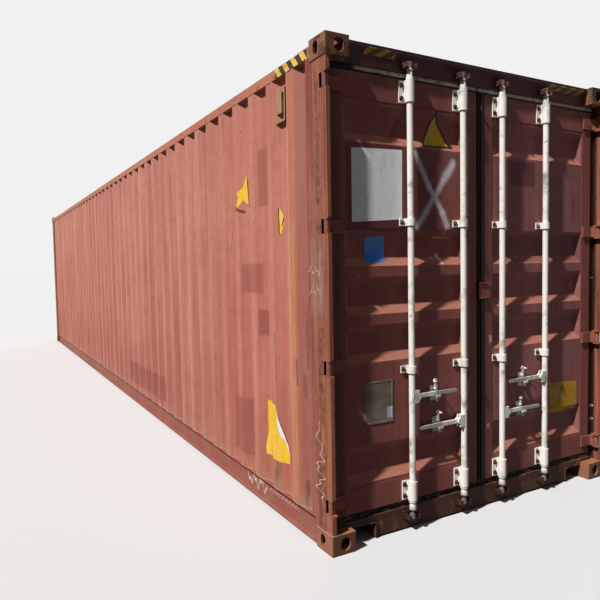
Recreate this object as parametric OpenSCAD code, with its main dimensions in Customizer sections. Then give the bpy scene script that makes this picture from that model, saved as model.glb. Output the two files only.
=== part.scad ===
// Forty foot high cube shipping container, closed steel box with two hinged doors.
// Origin: middle of the footprint at the underside of the corner castings.
// X runs across, Y along the length with the doors at -Y, Z up.

/* [Container] */
// Length over the corner castings
body_l = 12192; // [5000:1:13716]
// Width over the corner castings
body_w = 2438; // [2300:1:2600]
// Height over the corner castings
body_h = 2896; // [2700:1:3100]
// How far rails and posts sit inside the casting faces
side_inset = 5; // [3:0.5:12]
// Underside of the base above the casting feet
base_lift = 12.5; // [8:0.5:20]
// Roof surface below the casting tops
roof_drop = 27; // [12:1:40]
// Tops of the door header and front rail below the casting tops
end_drop = 6; // [4:0.5:12]

/* [Corner castings] */
// Casting length along the container
cast_l = 178; // [160:1:200]
// Casting width across the container
cast_w = 162; // [150:1:180]
// Casting height
cast_h = 118; // [112:1:130]
// Thickness of the plate that holds the twist lock slot
cast_plate = 28.5; // [20:0.5:34]
// Thickness of the other casting walls
cast_wall = 16; // [10:0.5:20]
// Edge radius of a casting
cast_r = 9; // [3:0.5:14]
// Slot length
slot_l = 124.5; // [110:0.5:130]
// Slot width
slot_w = 63.5; // [55:0.5:70]
// Slot centre from the end face
slot_end = 103.5; // [95:0.5:108]
// Slot centre from the side face
slot_side = 89.5; // [80:0.5:95]
// Width of the hole in the end face
end_hole_w = 63.5; // [50:0.5:68]
// Width of the hole in the side face
side_hole_w = 51; // [40:0.5:60]
// Height of the end and side holes
hole_h = 76; // [70:0.5:80]
// Centres of the end and side holes above the foot
hole_z = 59; // [52:0.5:66]
// Round depth left at the flat top of an upper end hole
hole_round = 6; // [2:0.5:15]

/* [Posts] */
// Plate thickness of a corner post
post_t = 6; // [4:0.5:10]
// Length of a post along the side of the container
post_l = 225; // [190:1:260]
// Width of the lip that a door post shows at the door end
post_lip = 28; // [18:1:30]
// Length of the rolled channel inside a door post
channel_l = 113; // [90:1:125]
// Wall of the rolled channel
channel_t = 12; // [8:0.5:14]
// Front of the rolled channel behind the end plane
channel_y = 86; // [84:1:95]
// Width of a door post across the end
post_w = 49; // [45:0.5:110]
// Width of a front post across the front end
front_post_w = 150; // [120:1:200]

/* [Rails] */
// Side of the square top side rail
top_rail = 60; // [40:1:80]
// Wall of the top rails
top_rail_t = 3; // [2:0.5:6]
// Height of the bottom side rail
bottom_rail_h = 156; // [145:1:175]
// How far the front rails reach behind the corrugation of the front wall
front_rail_seat = 18; // [6:1:40]
// Underside of the front top rail below the casting tops
front_rail_drop = 120; // [119:1:140]
// Lap of the front top rail's plate over the roof sheet
roof_lap = 30; // [15:1:60]
// Upper flange of the bottom side rail
bottom_rail_w = 48; // [30:1:60]
// Wall of the bottom side rail
bottom_rail_t = 4.5; // [3:0.5:8]
// Web of the bottom side rail behind the outer face of the wall
rail_web = 28; // [15:1:40]
// Length of the plate that closes a bottom side rail at a casting
rail_end = 18; // [8:1:40]

/* [Door header and sill] */
// Recess of the header and sill faces behind the end plane
end_face_y = 72; // [66:1:76]
// Underside of the header below the casting tops
header_drop = 122; // [118:1:140]
// Nose of the header behind the end plane
header_nose_y = 38; // [20:1:50]
// Height of the upright face above the header underside
header_face_h = 62; // [50:1:70]
// Height of the slope under the header nose
header_slope_h = 34; // [15:1:40]
// Plate thickness of the header and sill
beam_t = 4.5; // [3:0.5:8]
// Top of the sill shelf above ground
sill_z = 142; // [130:1:155]
// Gap between the backs of the closed doors and the step of the sill
step_gap = 6; // [4:0.5:15]
// Width of the lashing cut-out beside a bottom casting
cutout_w = 187; // [150:1:230]
// Top of the lashing cut-out above ground
cutout_z = 102; // [80:1:110]
// Thickness of the plate that lines a cut-out
liner_t = 5; // [3:0.5:8]
// How far the liner stands proud of the sill
liner_out = 10; // [4:1:20]
// Length of the front lip over the inner end of a cut-out
liner_lip = 40; // [15:1:80]

/* [Walls and roof] */
// Sheet thickness of the side walls
wall_t = 2; // [1.5:0.1:3]
// Depth of the side wall corrugation
wall_d = 36; // [25:1:40]
// Pitch of the side wall corrugation
wall_pitch = 277; // [250:1:320]
// Outer flat of the side wall corrugation
wall_flat = 80; // [50:1:90]
// Slope of the side wall corrugation, along the wall
wall_slope = 68; // [50:1:80]
// Least flat at each end of a side wall
wall_margin = 40; // [20:1:120]
// Sheet thickness of the front wall
front_t = 2; // [1.5:0.1:3]
// Depth of the front wall corrugation
front_d = 45; // [30:1:50]
// Pitch of the front wall corrugation
front_pitch = 250; // [200:1:260]
// Outer flat of the front wall corrugation
front_flat = 110; // [60:1:120]
// Slope of the front wall corrugation, along the wall
front_slope = 18; // [10:1:30]
// Least flat at each side of the front wall
front_margin = 40; // [20:1:120]
// Sheet thickness of the roof
roof_t = 2; // [1.5:0.1:3]
// Depth of the roof troughs
roof_d = 20; // [10:1:30]
// Pitch of the roof troughs
roof_pitch = 209; // [180:1:260]
// Flat between two troughs
roof_flat = 91; // [60:1:100]
// Slope of a trough, along the roof
roof_slope = 14; // [8:1:25]
// Least flat at each end of the roof sheet
roof_end = 100; // [40:1:200]
// Edge of the roof sheet inside the faces of the top rails
roof_edge = 2; // [0:0.5:10]
// Flat margin beside the troughs
roof_margin = 75; // [40:1:120]
// Thickness of the plates that guard the roof at the castings
guard_t = 3; // [2:0.5:4]
// Reach of a guard plate beyond its casting
guard_l = 140; // [80:1:200]
// Gap between a guard plate and the lap of the front rail
guard_gap = 2; // [1:0.5:10]

/* [Vents] */
// Height of a wall vent
vent_h = 210; // [150:1:260]
// Top of a vent below the top side rail
vent_drop = 62; // [30:1:150]
// Width of a vent's face
vent_w = 124; // [90:1:130]
// Face of a vent behind the outer face of the wall
vent_y = 9; // [4:0.5:20]
// Width of the slit beside the vent's hood
vent_slit = 28; // [10:1:30]
// Rim around the openings of a vent
vent_rim = 13; // [8:1:20]
// Height of the opening under the hood
vent_mouth = 42; // [20:1:60]
// Height of the solid head of a vent
vent_head = 34; // [24:1:60]
// Diameter of the two holes in the head
vent_hole_d = 9; // [5:0.5:12]
// Wall behind the openings of a vent
vent_t = 3; // [2:0.5:6]
// Gap between the foot of a vent and the slopes of its recess
vent_side = 2; // [0.5:0.5:5]

/* [Base] */
// Underside of the crossmembers above the underside of the base
cross_lift = 9.5; // [4:0.5:20]
// Height of a crossmember
cross_h = 122; // [100:1:125]
// Flange of a crossmember
cross_w = 45; // [35:1:60]
// Wall of a crossmember
cross_t = 4; // [3:0.5:6]
// Pitch of the crossmembers
cross_pitch = 305; // [250:1:400]
// First crossmember behind the door sill
cross_first = 60; // [30:1:200]
// First outrigger from the inner end of the tunnel
rigger_first = 20; // [5:1:100]
// Least room between the last outrigger and the front castings
rigger_last = 100; // [60:1:200]
// Thickness of the floor boards
floor_t = 28; // [20:1:32]
// Boards along the floor
floor_n = 5; // [2:1:8]
// Joint between floor boards
floor_gap = 3; // [2:0.5:6]
// Gap between the floor boards and the steel beside them
floor_side = 2; // [1:0.5:6]
// Length of the gooseneck tunnel
tunnel_l = 3150; // [2000:10:3500]
// Clear width of the gooseneck tunnel
tunnel_w = 1029; // [950:1:1070]
// Plate thickness of the gooseneck tunnel
tunnel_t = 6; // [4:0.5:8]

/* [Doors] */
// Outer face of the doors behind the end plane
door_y = 78; // [76:1:84]
// Depth of the door frame
frame_d = 50; // [45:1:50]
// Wall of the door frame
frame_t = 3.2; // [2:0.1:5]
// Width of the upright door frame members
stile_w = 95; // [80:1:110]
// Height of the top and bottom door frame members
door_rail_h = 147; // [120:1:160]
// Hinge edge of a door leaf inside the container side
leaf_in = 67; // [62:1:75]
// Meeting edge of a door leaf from the middle
leaf_mid = 24; // [20:1:30]
// Bottom of the door leaves above ground
leaf_z = 180; // [175:1:190]
// Top of the door leaves below the casting tops
leaf_drop = 159; // [150:1:165]
// Sheet thickness of the door panels
panel_t = 2; // [1.5:0.1:3]
// Set back of a door panel behind its frame
panel_in = 3; // [1:0.5:6]
// Depth of a pressed panel rib
rib_d = 36; // [20:1:38]
// Height of a pressed panel rib
rib_h = 222; // [180:1:230]
// Slope at the top and bottom of a rib
rib_slope = 52; // [30:1:60]
// Slope at the ends of a rib
rib_end = 28; // [15:1:50]
// Pitch of the three middle ribs
rib_pitch = 285; // [250:1:320]
// Flat between an outer rib and the door frame
rib_margin = 20; // [8:1:120]
// Flat between the ends of a rib and the door frame
rib_side = 4; // [2:1:20]
// Clearance between a door seal and what it closes on
seal_gap = 1.5; // [1:0.1:3]
// Front of the seal behind the end plane
seal_y = 84; // [82:0.5:90]
// Thickness of a seal lip
seal_lip_t = 7; // [4:0.5:9]
// Reach of a seal lip beyond the seal body
seal_lip = 4; // [2:0.5:8]
// Depth of the seal body
seal_d = 34; // [24:1:40]
// Width of the running gap between the two door seals
seal_split = 10; // [8:1:14]
// Width of the seal lip on the left leaf's meeting edge
seal_left = 5; // [3:1:10]

/* [Hinges] */
// Hinges on each leaf
hinge_n = 4; // [2:1:5]
// Height of the lowest hinge above ground
hinge_z = 271; // [250:1:300]
// Highest hinge below the casting tops
hinge_top = 246; // [220:1:300]
// Height of the notch that a hinge works in
notch_h = 100; // [80:1:120]
// Length of that notch along the container side
notch_l = 75; // [70:1:80]
// Thickness of a hinge lug
lug_t = 10; // [6:1:14]
// Width of a hinge lug across the end
lug_w = 39; // [34:0.5:42]
// Front of a hinge lug behind the face of the post
lug_back = 3; // [0:0.5:8]
// Hinge pin inside the container side
pin_x = 18; // [16:0.5:20]
// Hinge pin behind the end plane
pin_y = 38; // [34:0.5:42]
// Diameter of a hinge pin
pin_d = 18; // [14:0.5:20]
// Diameter of a hinge barrel
barrel_d = 30; // [27:0.5:31]
// Clearance above and below a hinge barrel
barrel_gap = 1; // [0.5:0.1:3]
// Clearance of a bore around its pin, on the diameter
pin_gap = 1; // [0.6:0.1:1.5]
// Thickness of a hinge blade
blade_t = 10; // [6:0.5:10]
// Length of a hinge blade on the door face
blade_l = 96; // [60:1:100]
// Lap of a hinge blade outside the edge of its leaf
blade_lap = 6; // [2:0.5:10]

/* [Lock rods] */
// Outer rods from the middle of the container
rod_out = 606; // [590:1:620]
// Inner rods from the middle of the container
rod_mid = 176; // [160:1:190]
// Rod axis behind the end plane
rod_y = 40; // [38:0.5:42]
// Diameter of a lock rod
rod_d = 38; // [30:0.5:38]
// Diameter of a guide barrel
guide_d = 54; // [50:0.5:56]
// Clearance of a guide around its rod, on the diameter
rod_gap = 1.2; // [0.8:0.1:2]
// Height of a top guide
guide_h = 130; // [110:1:136]
// Height of a bottom guide
low_guide_h = 118; // [100:1:130]
// Top guide below the top of the leaf
top_guide_in = 9; // [4:1:30]
// Bottom guide above the bottom of the leaf
low_guide_in = 10; // [4:1:30]
// Width of the block behind a guide barrel
guide_w = 44; // [30:1:50]
// Reach of a guide flange to the bolt side
flange_l = 56; // [45:1:56]
// Reach of a guide flange to the other side
flange_s = 30; // [25:1:50]
// Thickness of a guide flange
flange_t = 8; // [5:0.5:12]
// Width of a hexagon bolt head on a guide
guide_bolt_d = 18; // [12:0.5:22]
// Bolt centres from the edge of a flange
bolt_in = 16; // [12:0.5:20]
// Height of a middle guide
mid_guide_h = 45; // [30:1:60]
// Height of the upper middle guides above ground
mid_guide_hi = 1892; // [1875:1:2200]
// Height of the lower middle guides above ground
mid_guide_lo = 1000; // [950:1:1025]
// Reach of a cam lobe from the rod axis
cam_r = 23; // [20:0.5:23]
// Height of a cam
cam_h = 30; // [20:1:32]
// Cam above the foot of an upper keeper
cam_up = 22; // [14:1:30]
// Cam above the foot of a lower keeper
cam_low = 10; // [6:1:30]
// Diameter of the rod ends that carry the cams
neck_d = 22; // [16:0.5:26]
// Height of the cone beside a guide
cone_h = 44; // [20:1:50]
// Height of the collars on a rod
collar_h = 10; // [6:0.5:14]
// Gap between a guide and the collar beside it
collar_gap = 2; // [1:0.1:4]
// Clear half width between two keeper prongs
keeper_in = 31; // [30:0.5:36]
// Thickness of a keeper prong
keeper_t = 14; // [8:1:18]
// Height of a keeper
keeper_h = 52; // [40:1:56]
// Foot of the upper keepers above the underside of the header
keeper_up = 8; // [2:1:20]
// Foot of the lower keepers below the sill shelf
keeper_down = 80; // [70:1:95]
// Thickness of the plate behind the keeper prongs
keeper_plate = 4; // [3:0.5:10]
// Margin of that plate beside the prongs
keeper_side = 6; // [2:1:15]
// Front of the keeper prongs behind the end plane
prong_y = 17; // [12:0.5:30]
// Height of a keeper prong
prong_h = 32; // [24:1:44]

/* [Handles] */
// Height of the outer rods' handles above ground
handle_hi = 832; // [800:1:880]
// Height of the inner rods' handles above ground
handle_lo = 628; // [600:1:660]
// Reach of a handle from its rod axis
handle_l = 372; // [330:1:385]
// Height of a handle bar
handle_h = 26; // [20:1:30]
// Thickness of a handle bar
handle_t = 13; // [10:0.5:14]
// Height of the grip at the free end of a handle
grip_h = 20; // [14:1:26]
// Start of the taper before the retainer
grip_in = 50; // [30:1:80]
// Clearance between a handle and its retainer shelf
shelf_gap = 0.5; // [0.3:0.1:2]
// Handle pin from the rod axis
hub_x = 42; // [38:0.5:48]
// Height of a handle hub
hub_h = 78; // [60:1:90]
// Thickness of a hub cheek
hub_t = 11; // [8:0.5:12]
// Diameter of the round end of a hub cheek
hub_d = 44; // [34:1:50]
// Depth that a hub is let into its rod
hub_in = 8; // [4:0.5:12]
// Clearance of a handle between its hub cheeks, each side
hub_gap = 0.8; // [0.4:0.1:1.5]
// Diameter of a handle pin
hub_pin_d = 12; // [8:0.5:14]
// Retainer from the rod axis
retainer_x = 205; // [180:1:230]
// Width of a retainer plate
retainer_w = 62; // [50:1:80]
// Height of a retainer plate
retainer_h = 96; // [86:1:110]
// Thickness of the retainer plate and its shelf
retainer_t = 6; // [4:0.5:8]
// Width of the retainer shelf
shelf_w = 40; // [24:1:50]
// Height of the lip under the shelf
shelf_lip = 8; // [4:0.5:14]
// Width of a hexagon bolt head on a retainer
retainer_bolt_d = 14; // [10:0.5:18]
// Radius of the padlock ring
ring_r = 15; // [10:0.5:20]
// Diameter of the rod of the padlock ring
ring_d = 8; // [5:0.5:9]
// Length of a catch from its pivot to its nose
catch_l = 50; // [44:1:60]
// Height of the catch pivot above the handle
catch_z = 24; // [22:0.5:28]
// Diameter of a catch pivot
catch_pin_d = 8; // [6:0.5:10]
// Thickness of a catch
catch_t = 6; // [4:0.5:8]
// Width of the arm of a catch
catch_w = 14; // [10:0.5:18]
// Diameter of the eye of a catch
catch_eye = 20; // [16:0.5:24]
// Radius of the hook of a catch
hook_r = 12; // [8:0.5:14]
// Diameter of the nose of a catch
nose_d = 10; // [7:0.5:12]

/* [Overlap plate] */
// Height of the plate that laps over the left door
overlap_h = 105; // [60:1:160]
// Thickness of that plate
overlap_t = 12; // [6:0.5:16]
// Reach of the plate onto the right door's stile
overlap_w = 70; // [40:1:90]
// Depth of the gussets above and below the plate
gusset_d = 20; // [14:0.5:26]
// Thickness of a gusset
gusset_t = 6; // [4:0.5:10]

/* [Hidden] */
$fn = 48;
eps = 0.01;
half_l = body_l / 2;
half_w = body_w / 2;
clear_w = body_w - 2 * post_w;
end_top_z = body_h - end_drop;
roof_top = body_h - roof_drop;
cross_z = base_lift + cross_lift;
floor_z = cross_z + cross_h;
floor_top = floor_z + floor_t;
rail_top_z = base_lift + bottom_rail_h;
roof_base = roof_top - roof_t;
top_rail_z = roof_base - top_rail;
header_z = body_h - header_drop;
front_rail_z = body_h - front_rail_drop;
front_rail_d = front_d + front_rail_seat;
step_y = door_y + frame_d + step_gap;
leaf_top = body_h - leaf_drop;
leaf_h = leaf_top - leaf_z;
leaf_edge = half_w - leaf_in;
panel_x0 = leaf_mid + stile_w;
panel_x1 = leaf_edge - stile_w;
panel_y = door_y + panel_in;
door_mid_z = leaf_z + leaf_h / 2;
guard_edge = half_w - side_inset - roof_edge - cast_w - guard_l - guard_gap;
panel_h = leaf_h - 2 * door_rail_h;
rib_far = panel_h / 2 - rib_margin - rib_h / 2;
rib_list = [-rib_far, -rib_pitch, 0, rib_pitch, rib_far];
wall_x = side_inset;
wall_run = body_l - 2 * post_l;
wall_n = floor((wall_run - 2 * wall_margin) / wall_pitch);
wall_edge = (wall_run - wall_n * wall_pitch) / 2;
front_run = body_w - 2 * (side_inset + front_post_w);
front_n = floor((front_run - 2 * front_margin) / front_pitch);
roof_run = body_l - 2 * cast_l;
roof_n = floor((roof_run - 2 * roof_end) / roof_pitch);
hinge_pitch = (body_h - hinge_top - hinge_z) / (hinge_n - 1);
barrel_h = notch_h - 2 * lug_t - 2 * barrel_gap;
blade_y = door_y - blade_t;
bar_y0 = rod_y - handle_t / 2;
top_guide_z = leaf_top - top_guide_in - guide_h;
low_guide_z = leaf_z + low_guide_in;
keeper_top_z = header_z + keeper_up;
keeper_low_z = sill_z - keeper_down;
cam_top_z = keeper_top_z + cam_up;
cam_low_z = keeper_low_z + cam_low;

PAINT = "firebrick";
SHADE = "brown";
RUST = "sienna";
CREAM = "antiquewhite";
BLACK = "dimgray";

// Shared helpers

// Builds on the left side, or mirrored on the right side when side is 1
module on_side(side) {
    if (side < 0) children();
    else mirror([1, 0, 0]) children();
}

// Places a plan outline at the left door corner: x inward, y back from the end plane
module door_corner(z0, z1) {
    translate([-half_w, -half_l, z0]) linear_extrude(z1 - z0) children();
}

// Places a section of depth and height, drawn from the end plane, along X from x0 to x1
module across(x0, x1) {
    translate([x0, -half_l, 0]) rotate([90, 0, 90]) linear_extrude(x1 - x0) children();
}

// Rectangle with round corners, from the origin
module round_rect(w, h, r) {
    translate([r, 0]) square([w - 2 * r, h]);
    translate([0, r]) square([w, h - 2 * r]);
    for (x = [r, w - r], y = [r, h - r]) translate([x, y]) circle(r);
}

// Slot with round ends, centred, long along Y
module stadium(w, l) {
    translate([-w / 2, -(l - w) / 2]) square([w, l - w]);
    for (s = [-1, 1]) translate([0, s * (l - w) / 2]) circle(d = w);
}

// Bar with round ends between two points
module bar2(a, b, w) {
    d = b - a;
    translate(a) rotate(atan2(d[1], d[0])) translate([0, -w / 2]) square([norm(d), w]);
    translate(a) circle(d = w);
    translate(b) circle(d = w);
}

// Corner castings

// Casting for the left bottom door corner, its foot on the ground
module casting(top) {
    room = cast_h - cast_plate - cast_wall;
    difference() {
        linear_extrude(cast_h) round_rect(cast_w, cast_l, cast_r);
        translate([cast_wall, cast_wall, cast_plate])
            cube([cast_w - 2 * cast_wall, cast_l - 2 * cast_wall, room]);
        translate([slot_side, slot_end, -1]) linear_extrude(cast_plate + 2) stadium(slot_w, slot_l);
        translate([slot_side, cast_wall + 1, hole_z]) rotate([90, 0, 0])
            linear_extrude(cast_wall + 2) end_hole(top);
        translate([-1, slot_end, hole_z]) rotate([90, 0, 90])
            linear_extrude(cast_wall + 2) stadium(side_hole_w, hole_h);
    }
}

// Upper castings have a hole with a flat top, lower ones a plain slot
module end_hole(top) {
    stadium(end_hole_w, hole_h);
    if (top) translate([-end_hole_w / 2, -hole_h / 2 + hole_round])
        square([end_hole_w, hole_h / 2 - hole_round]);
}

// Casting at a corner: side -1 left, 1 right; end -1 doors, 1 front
module corner_casting(side, end, top) {
    color(RUST)
        mirror([side > 0 ? 1 : 0, 0, 0]) mirror([0, end > 0 ? 1 : 0, 0])
            translate([-half_w, -half_l, top ? body_h : 0]) mirror([0, 0, top ? 1 : 0]) casting(top);
}

// Door posts

// Pressed outer plate of a door post in plan
module post_plan_outer() {
    translate([side_inset, side_inset]) square([post_lip, post_t]);
    translate([side_inset, side_inset]) square([post_t, post_l - side_inset]);
}

// Flange that carries the side wall in plan
module post_plan_return() {
    translate([side_inset, post_l - post_t]) square([wall_d + post_t, post_t]);
}

// Rolled channel inside a door post in plan
module post_plan_channel() {
    flange = post_w - side_inset - post_t + eps;
    translate([post_w - channel_t, channel_y]) square([channel_t, channel_l]);
    for (y = [channel_y, channel_y + channel_l - channel_t])
        translate([post_w - flange, y]) square([flange, channel_t]);
}

// Lug plate of a hinge in plan
module lug_plan() {
    translate([side_inset, side_inset + lug_back]) square([lug_w, notch_l - side_inset - lug_back]);
}

module door_post(side) {
    color(PAINT) on_side(side) {
        difference() {
            union() {
                difference() {
                    union() {
                        door_corner(cast_h, body_h - cast_h) post_plan_outer();
                        door_corner(rail_top_z, top_rail_z) intersection() {
                            post_plan_outer();
                            translate([0, cast_l]) square([cast_w, post_l]);
                        }
                        door_corner(rail_top_z, top_rail_z) post_plan_return();
                    }
                    for (i = [0 : hinge_n - 1])
                        translate([0, 0, hinge_z + i * hinge_pitch]) hinge_notch();
                }
                door_corner(cast_h, body_h - cast_h) post_plan_channel();
                for (i = [0 : hinge_n - 1])
                    translate([0, 0, hinge_z + i * hinge_pitch]) hinge_lugs();
            }
            door_corner(0, rail_top_z) translate([0, cast_l]) square([cast_w, post_l]);
        }
    }
}

// Opening in the post for one hinge, about its middle height
module hinge_notch() {
    door_corner(-notch_h / 2, notch_h / 2) translate([-1, -1]) square([post_w + 1, notch_l + 1]);
}

// Two lugs and the pin of one hinge, about its middle height
module hinge_lugs() {
    for (z = [-notch_h / 2, notch_h / 2 - lug_t])
        door_corner(z, z + lug_t) lug_plan();
    door_corner(-notch_h / 2, notch_h / 2) translate([pin_x, pin_y]) circle(d = pin_d);
}

// Front posts

module front_post_plan() {
    back = side_inset + front_d + post_t;
    edge = side_inset + front_post_w;
    inner = side_inset + wall_d + post_t;
    translate([side_inset, side_inset]) square([post_t, post_l - side_inset]);
    translate([side_inset, side_inset]) square([front_post_w, post_t]);
    translate([edge - post_t, side_inset]) square([post_t, front_d + post_t]);
    translate([side_inset, post_l - post_t]) square([wall_d + post_t, post_t]);
    polygon([
        [edge, back], [edge - post_t, back - post_t],
        [inner - post_t, post_l - post_t], [inner, post_l]
    ]);
}

module front_post(side) {
    color(PAINT) on_side(side) mirror([0, 1, 0]) difference() {
        union() {
            door_corner(cast_h, body_h - cast_h) front_post_plan();
            door_corner(rail_top_z, top_rail_z) intersection() {
                front_post_plan();
                translate([0, cast_l]) square([cast_w, post_l]);
            }
        }
        door_corner(0, rail_top_z) translate([0, cast_l]) square([cast_w * 2, post_l]);
    }
}

// Door header and sill

// Section of the header: box with a nose over the cams
module header_section() {
    y0 = header_nose_y;
    y1 = end_face_y;
    z0 = header_z;
    z1 = header_z + header_face_h;
    z2 = z1 + header_slope_h;
    t = beam_t;
    difference() {
        polygon([[y1, z0], [y1, z1], [y0, z2], [y0, end_top_z], [cast_l, end_top_z], [cast_l, z0]]);
        polygon([
            [y1 + t, z0 + t], [y1 + t, z1 + t / 2], [y0 + t, z2 + t / 2], [y0 + t, end_top_z - t],
            [cast_l - t, end_top_z - t], [cast_l - t, z0 + t]
        ]);
    }
}

module door_header() {
    inner = half_w - cast_w;
    color(SHADE) across(-inner, inner) header_section();
}

// Section of the sill: a shelf under the doors and a step up to the floor
module sill_section() {
    polygon([
        [end_face_y, base_lift], [end_face_y, sill_z], [step_y, sill_z], [step_y, floor_top],
        [cast_l, floor_top], [cast_l, base_lift]
    ]);
}

// Space inside the bent plate of the sill, open towards the floor
module sill_cavity() {
    y0 = end_face_y + beam_t;
    y1 = step_y + beam_t;
    y2 = cast_l + 1;
    polygon([
        [y0, base_lift + beam_t], [y0, sill_z - beam_t], [y1, sill_z - beam_t],
        [y1, floor_top - beam_t], [y2, floor_top - beam_t], [y2, base_lift + beam_t]
    ]);
}

module door_sill() {
    inner = half_w - cast_w;
    color(SHADE) {
        difference() {
            union() {
                across(-inner, inner) sill_section();
                across(-clear_w / 2, clear_w / 2) intersection() {
                    sill_section();
                    translate([0, cast_h]) square([cast_l, cast_h]);
                }
            }
            across(-inner + cutout_w + beam_t, inner - cutout_w - beam_t) sill_cavity();
            for (s = [-1, 1]) mirror([s > 0 ? 1 : 0, 0, 0])
                across(-inner - 1, -inner + cutout_w) translate([0, base_lift - 1])
                    square([cast_l + 1, cutout_z - base_lift + 1]);
        }
        for (s = [-1, 1]) mirror([s > 0 ? 1 : 0, 0, 0]) cutout_liner(inner);
    }
}

// Bent plate that lines one lashing cut-out
module cutout_liner(inner) {
    y0 = end_face_y - liner_out;
    x1 = -inner + cutout_w;
    translate([x1 - liner_t, -half_l + y0, base_lift])
        cube([liner_t, cast_l - y0, cutout_z - base_lift]);
    translate([-inner, -half_l + end_face_y, cutout_z - liner_t])
        cube([cutout_w, cast_l - end_face_y, liner_t]);
    translate([x1 - liner_lip, -half_l + y0, cutout_z - liner_t])
        cube([liner_lip, liner_out + 1, liner_t]);
}

// Front rails

module front_top_rail() {
    inner = half_w - cast_w;
    z0 = front_rail_z;
    d = front_rail_d;
    t = top_rail_t;
    x0 = side_inset + d;
    color(PAINT) mirror([0, 1, 0]) {
        across(-inner, inner) {
            difference() {
                translate([side_inset, z0]) square([d, end_top_z - z0]);
                translate([side_inset + t, z0 + t]) square([d - 2 * t, end_top_z - z0 - 2 * t]);
            }
            // Plate from the rail to the roof sheet
            translate([x0 - eps, roof_top]) square([cast_l - x0 + eps, guard_t]);
        }
        across(-guard_edge, guard_edge) translate([cast_l - 1, roof_top]) square([roof_lap + 1, guard_t]);
    }
}

module front_bottom_rail() {
    inner = half_w - cast_w;
    open = tunnel_w / 2 + tunnel_t;
    d = front_rail_d;
    t = bottom_rail_t;
    color(PAINT) mirror([0, 1, 0]) for (s = [-1, 1]) mirror([s > 0 ? 1 : 0, 0, 0])
        across(-inner, -open) difference() {
            translate([side_inset, base_lift]) square([d, bottom_rail_h]);
            translate([side_inset + t, base_lift + t]) square([d - 2 * t, bottom_rail_h - 2 * t]);
        }
    // Plate over the tunnel mouth
    color(PAINT) mirror([0, 1, 0]) across(-open, open)
        translate([side_inset, floor_z]) square([d, rail_top_z - floor_z]);
}

// Side rails

module top_side_rail(side) {
    t = top_rail_t;
    color(PAINT) on_side(side)
        translate([-half_w + side_inset, half_l - cast_l, top_rail_z]) rotate([90, 0, 0])
            linear_extrude(body_l - 2 * cast_l) difference() {
                square([top_rail, top_rail]);
                translate([t, t]) square([top_rail - 2 * t, top_rail - 2 * t]);
            }
}

module bottom_side_rail(side) {
    t = bottom_rail_t;
    h = bottom_rail_h;
    l = body_l - 2 * cast_l;
    color(PAINT) on_side(side)
        translate([-half_w + side_inset, half_l - cast_l, base_lift]) rotate([90, 0, 0]) {
            linear_extrude(l) {
                translate([rail_web, 0]) square([t, h]);
                square([rail_web + t, t]);
                translate([0, h - t]) square([bottom_rail_w, t]);
            }
            // Plates that close the rail beside the castings
            for (z = [0, l - rail_end]) translate([0, 0, z]) cube([t, h, rail_end]);
        }
}

// Walls

// Shift of a bend that keeps a sheet t thick on a slope
function bend(t, d, slope) = t * tan(atan(d / slope) / 2);

// Corners of one trapezoid wave, from the middle of one inner flat to the next
// o is 0 on the outer plane and d on the inner one; s moves the corners for sheet thickness
function wave(p, flat, slope, d, s) =
    let (m = (p - flat - 2 * slope) / 2)
    [[m - s, d], [m + slope - s, 0], [m + slope + flat + s, 0], [m + 2 * slope + flat + s, d]];

// Outline of a corrugated sheet along X, its outer face towards -Y
function sheet(n, p, flat, slope, d, t, e) =
    let (s = bend(t, d, slope))
    concat(
        [[0, d]],
        [for (i = [0 : n - 1], q = wave(p, flat, slope, d, 0)) [e + i * p + q[0], q[1]]],
        [[2 * e + n * p, d], [2 * e + n * p, d + t]],
        [for (i = [n - 1 : -1 : 0], k = [3 : -1 : 0])
            let (q = wave(p, flat, slope, d, -s)[k]) [e + i * p + q[0], q[1] + t]],
        [[0, d + t]]
    );

module side_wall(side) {
    color(PAINT) on_side(side)
        translate([-half_w + wall_x, wall_run / 2, rail_top_z])
            rotate([0, 0, -90]) linear_extrude(top_rail_z - rail_top_z)
                polygon(sheet(wall_n, wall_pitch, wall_flat, wall_slope, wall_d, wall_t, wall_edge));
}

module front_wall() {
    e = (front_run - front_n * front_pitch) / 2;
    color(PAINT) translate([front_run / 2, half_l - side_inset - 1, rail_top_z])
        rotate([0, 0, 180]) linear_extrude(front_rail_z - rail_top_z)
            polygon(sheet(front_n, front_pitch, front_flat, front_slope, front_d, front_t, e));
}

// Roof

module roof_sheet() {
    l = roof_run;
    e = (l - roof_n * roof_pitch) / 2;
    w = body_w - 2 * (side_inset + roof_edge);
    wavy = w - 2 * roof_margin;
    color(PAINT) translate([0, -l / 2, roof_base + roof_t]) {
        translate([-wavy / 2, 0, 0]) rotate([90, 0, 90]) linear_extrude(wavy)
            mirror([0, 1]) polygon(roof_outline(l, e));
        for (s = [0, 1]) mirror([s, 0, 0]) {
            translate([-w / 2, 0, -roof_t]) cube([roof_margin + eps, l, roof_t]);
            translate([-wavy / 2, 0, -roof_d - roof_t]) cube([roof_t, l, roof_d + roof_t]);
        }
    }
}

// Roof profile along Y with troughs hanging down, y positive downward
function roof_outline(l, e) =
    let (s = bend(roof_t, roof_d, roof_slope))
    concat(
        [[0, 0]],
        [for (i = [0 : roof_n - 1], k = [0 : 3]) [e + i * roof_pitch + trough(0)[k][0], trough(0)[k][1]]],
        [[l, 0], [l, roof_t]],
        [for (i = [roof_n - 1 : -1 : 0], k = [3 : -1 : 0])
            [e + i * roof_pitch + trough(s)[k][0], trough(s)[k][1] + roof_t]],
        [[0, roof_t]]
    );
function trough(s) =
    let (a = roof_flat / 2, b = roof_pitch - roof_flat / 2)
    [[a - s, 0], [a + roof_slope - s, roof_d], [b - roof_slope + s, roof_d], [b + s, 0]];

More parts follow.
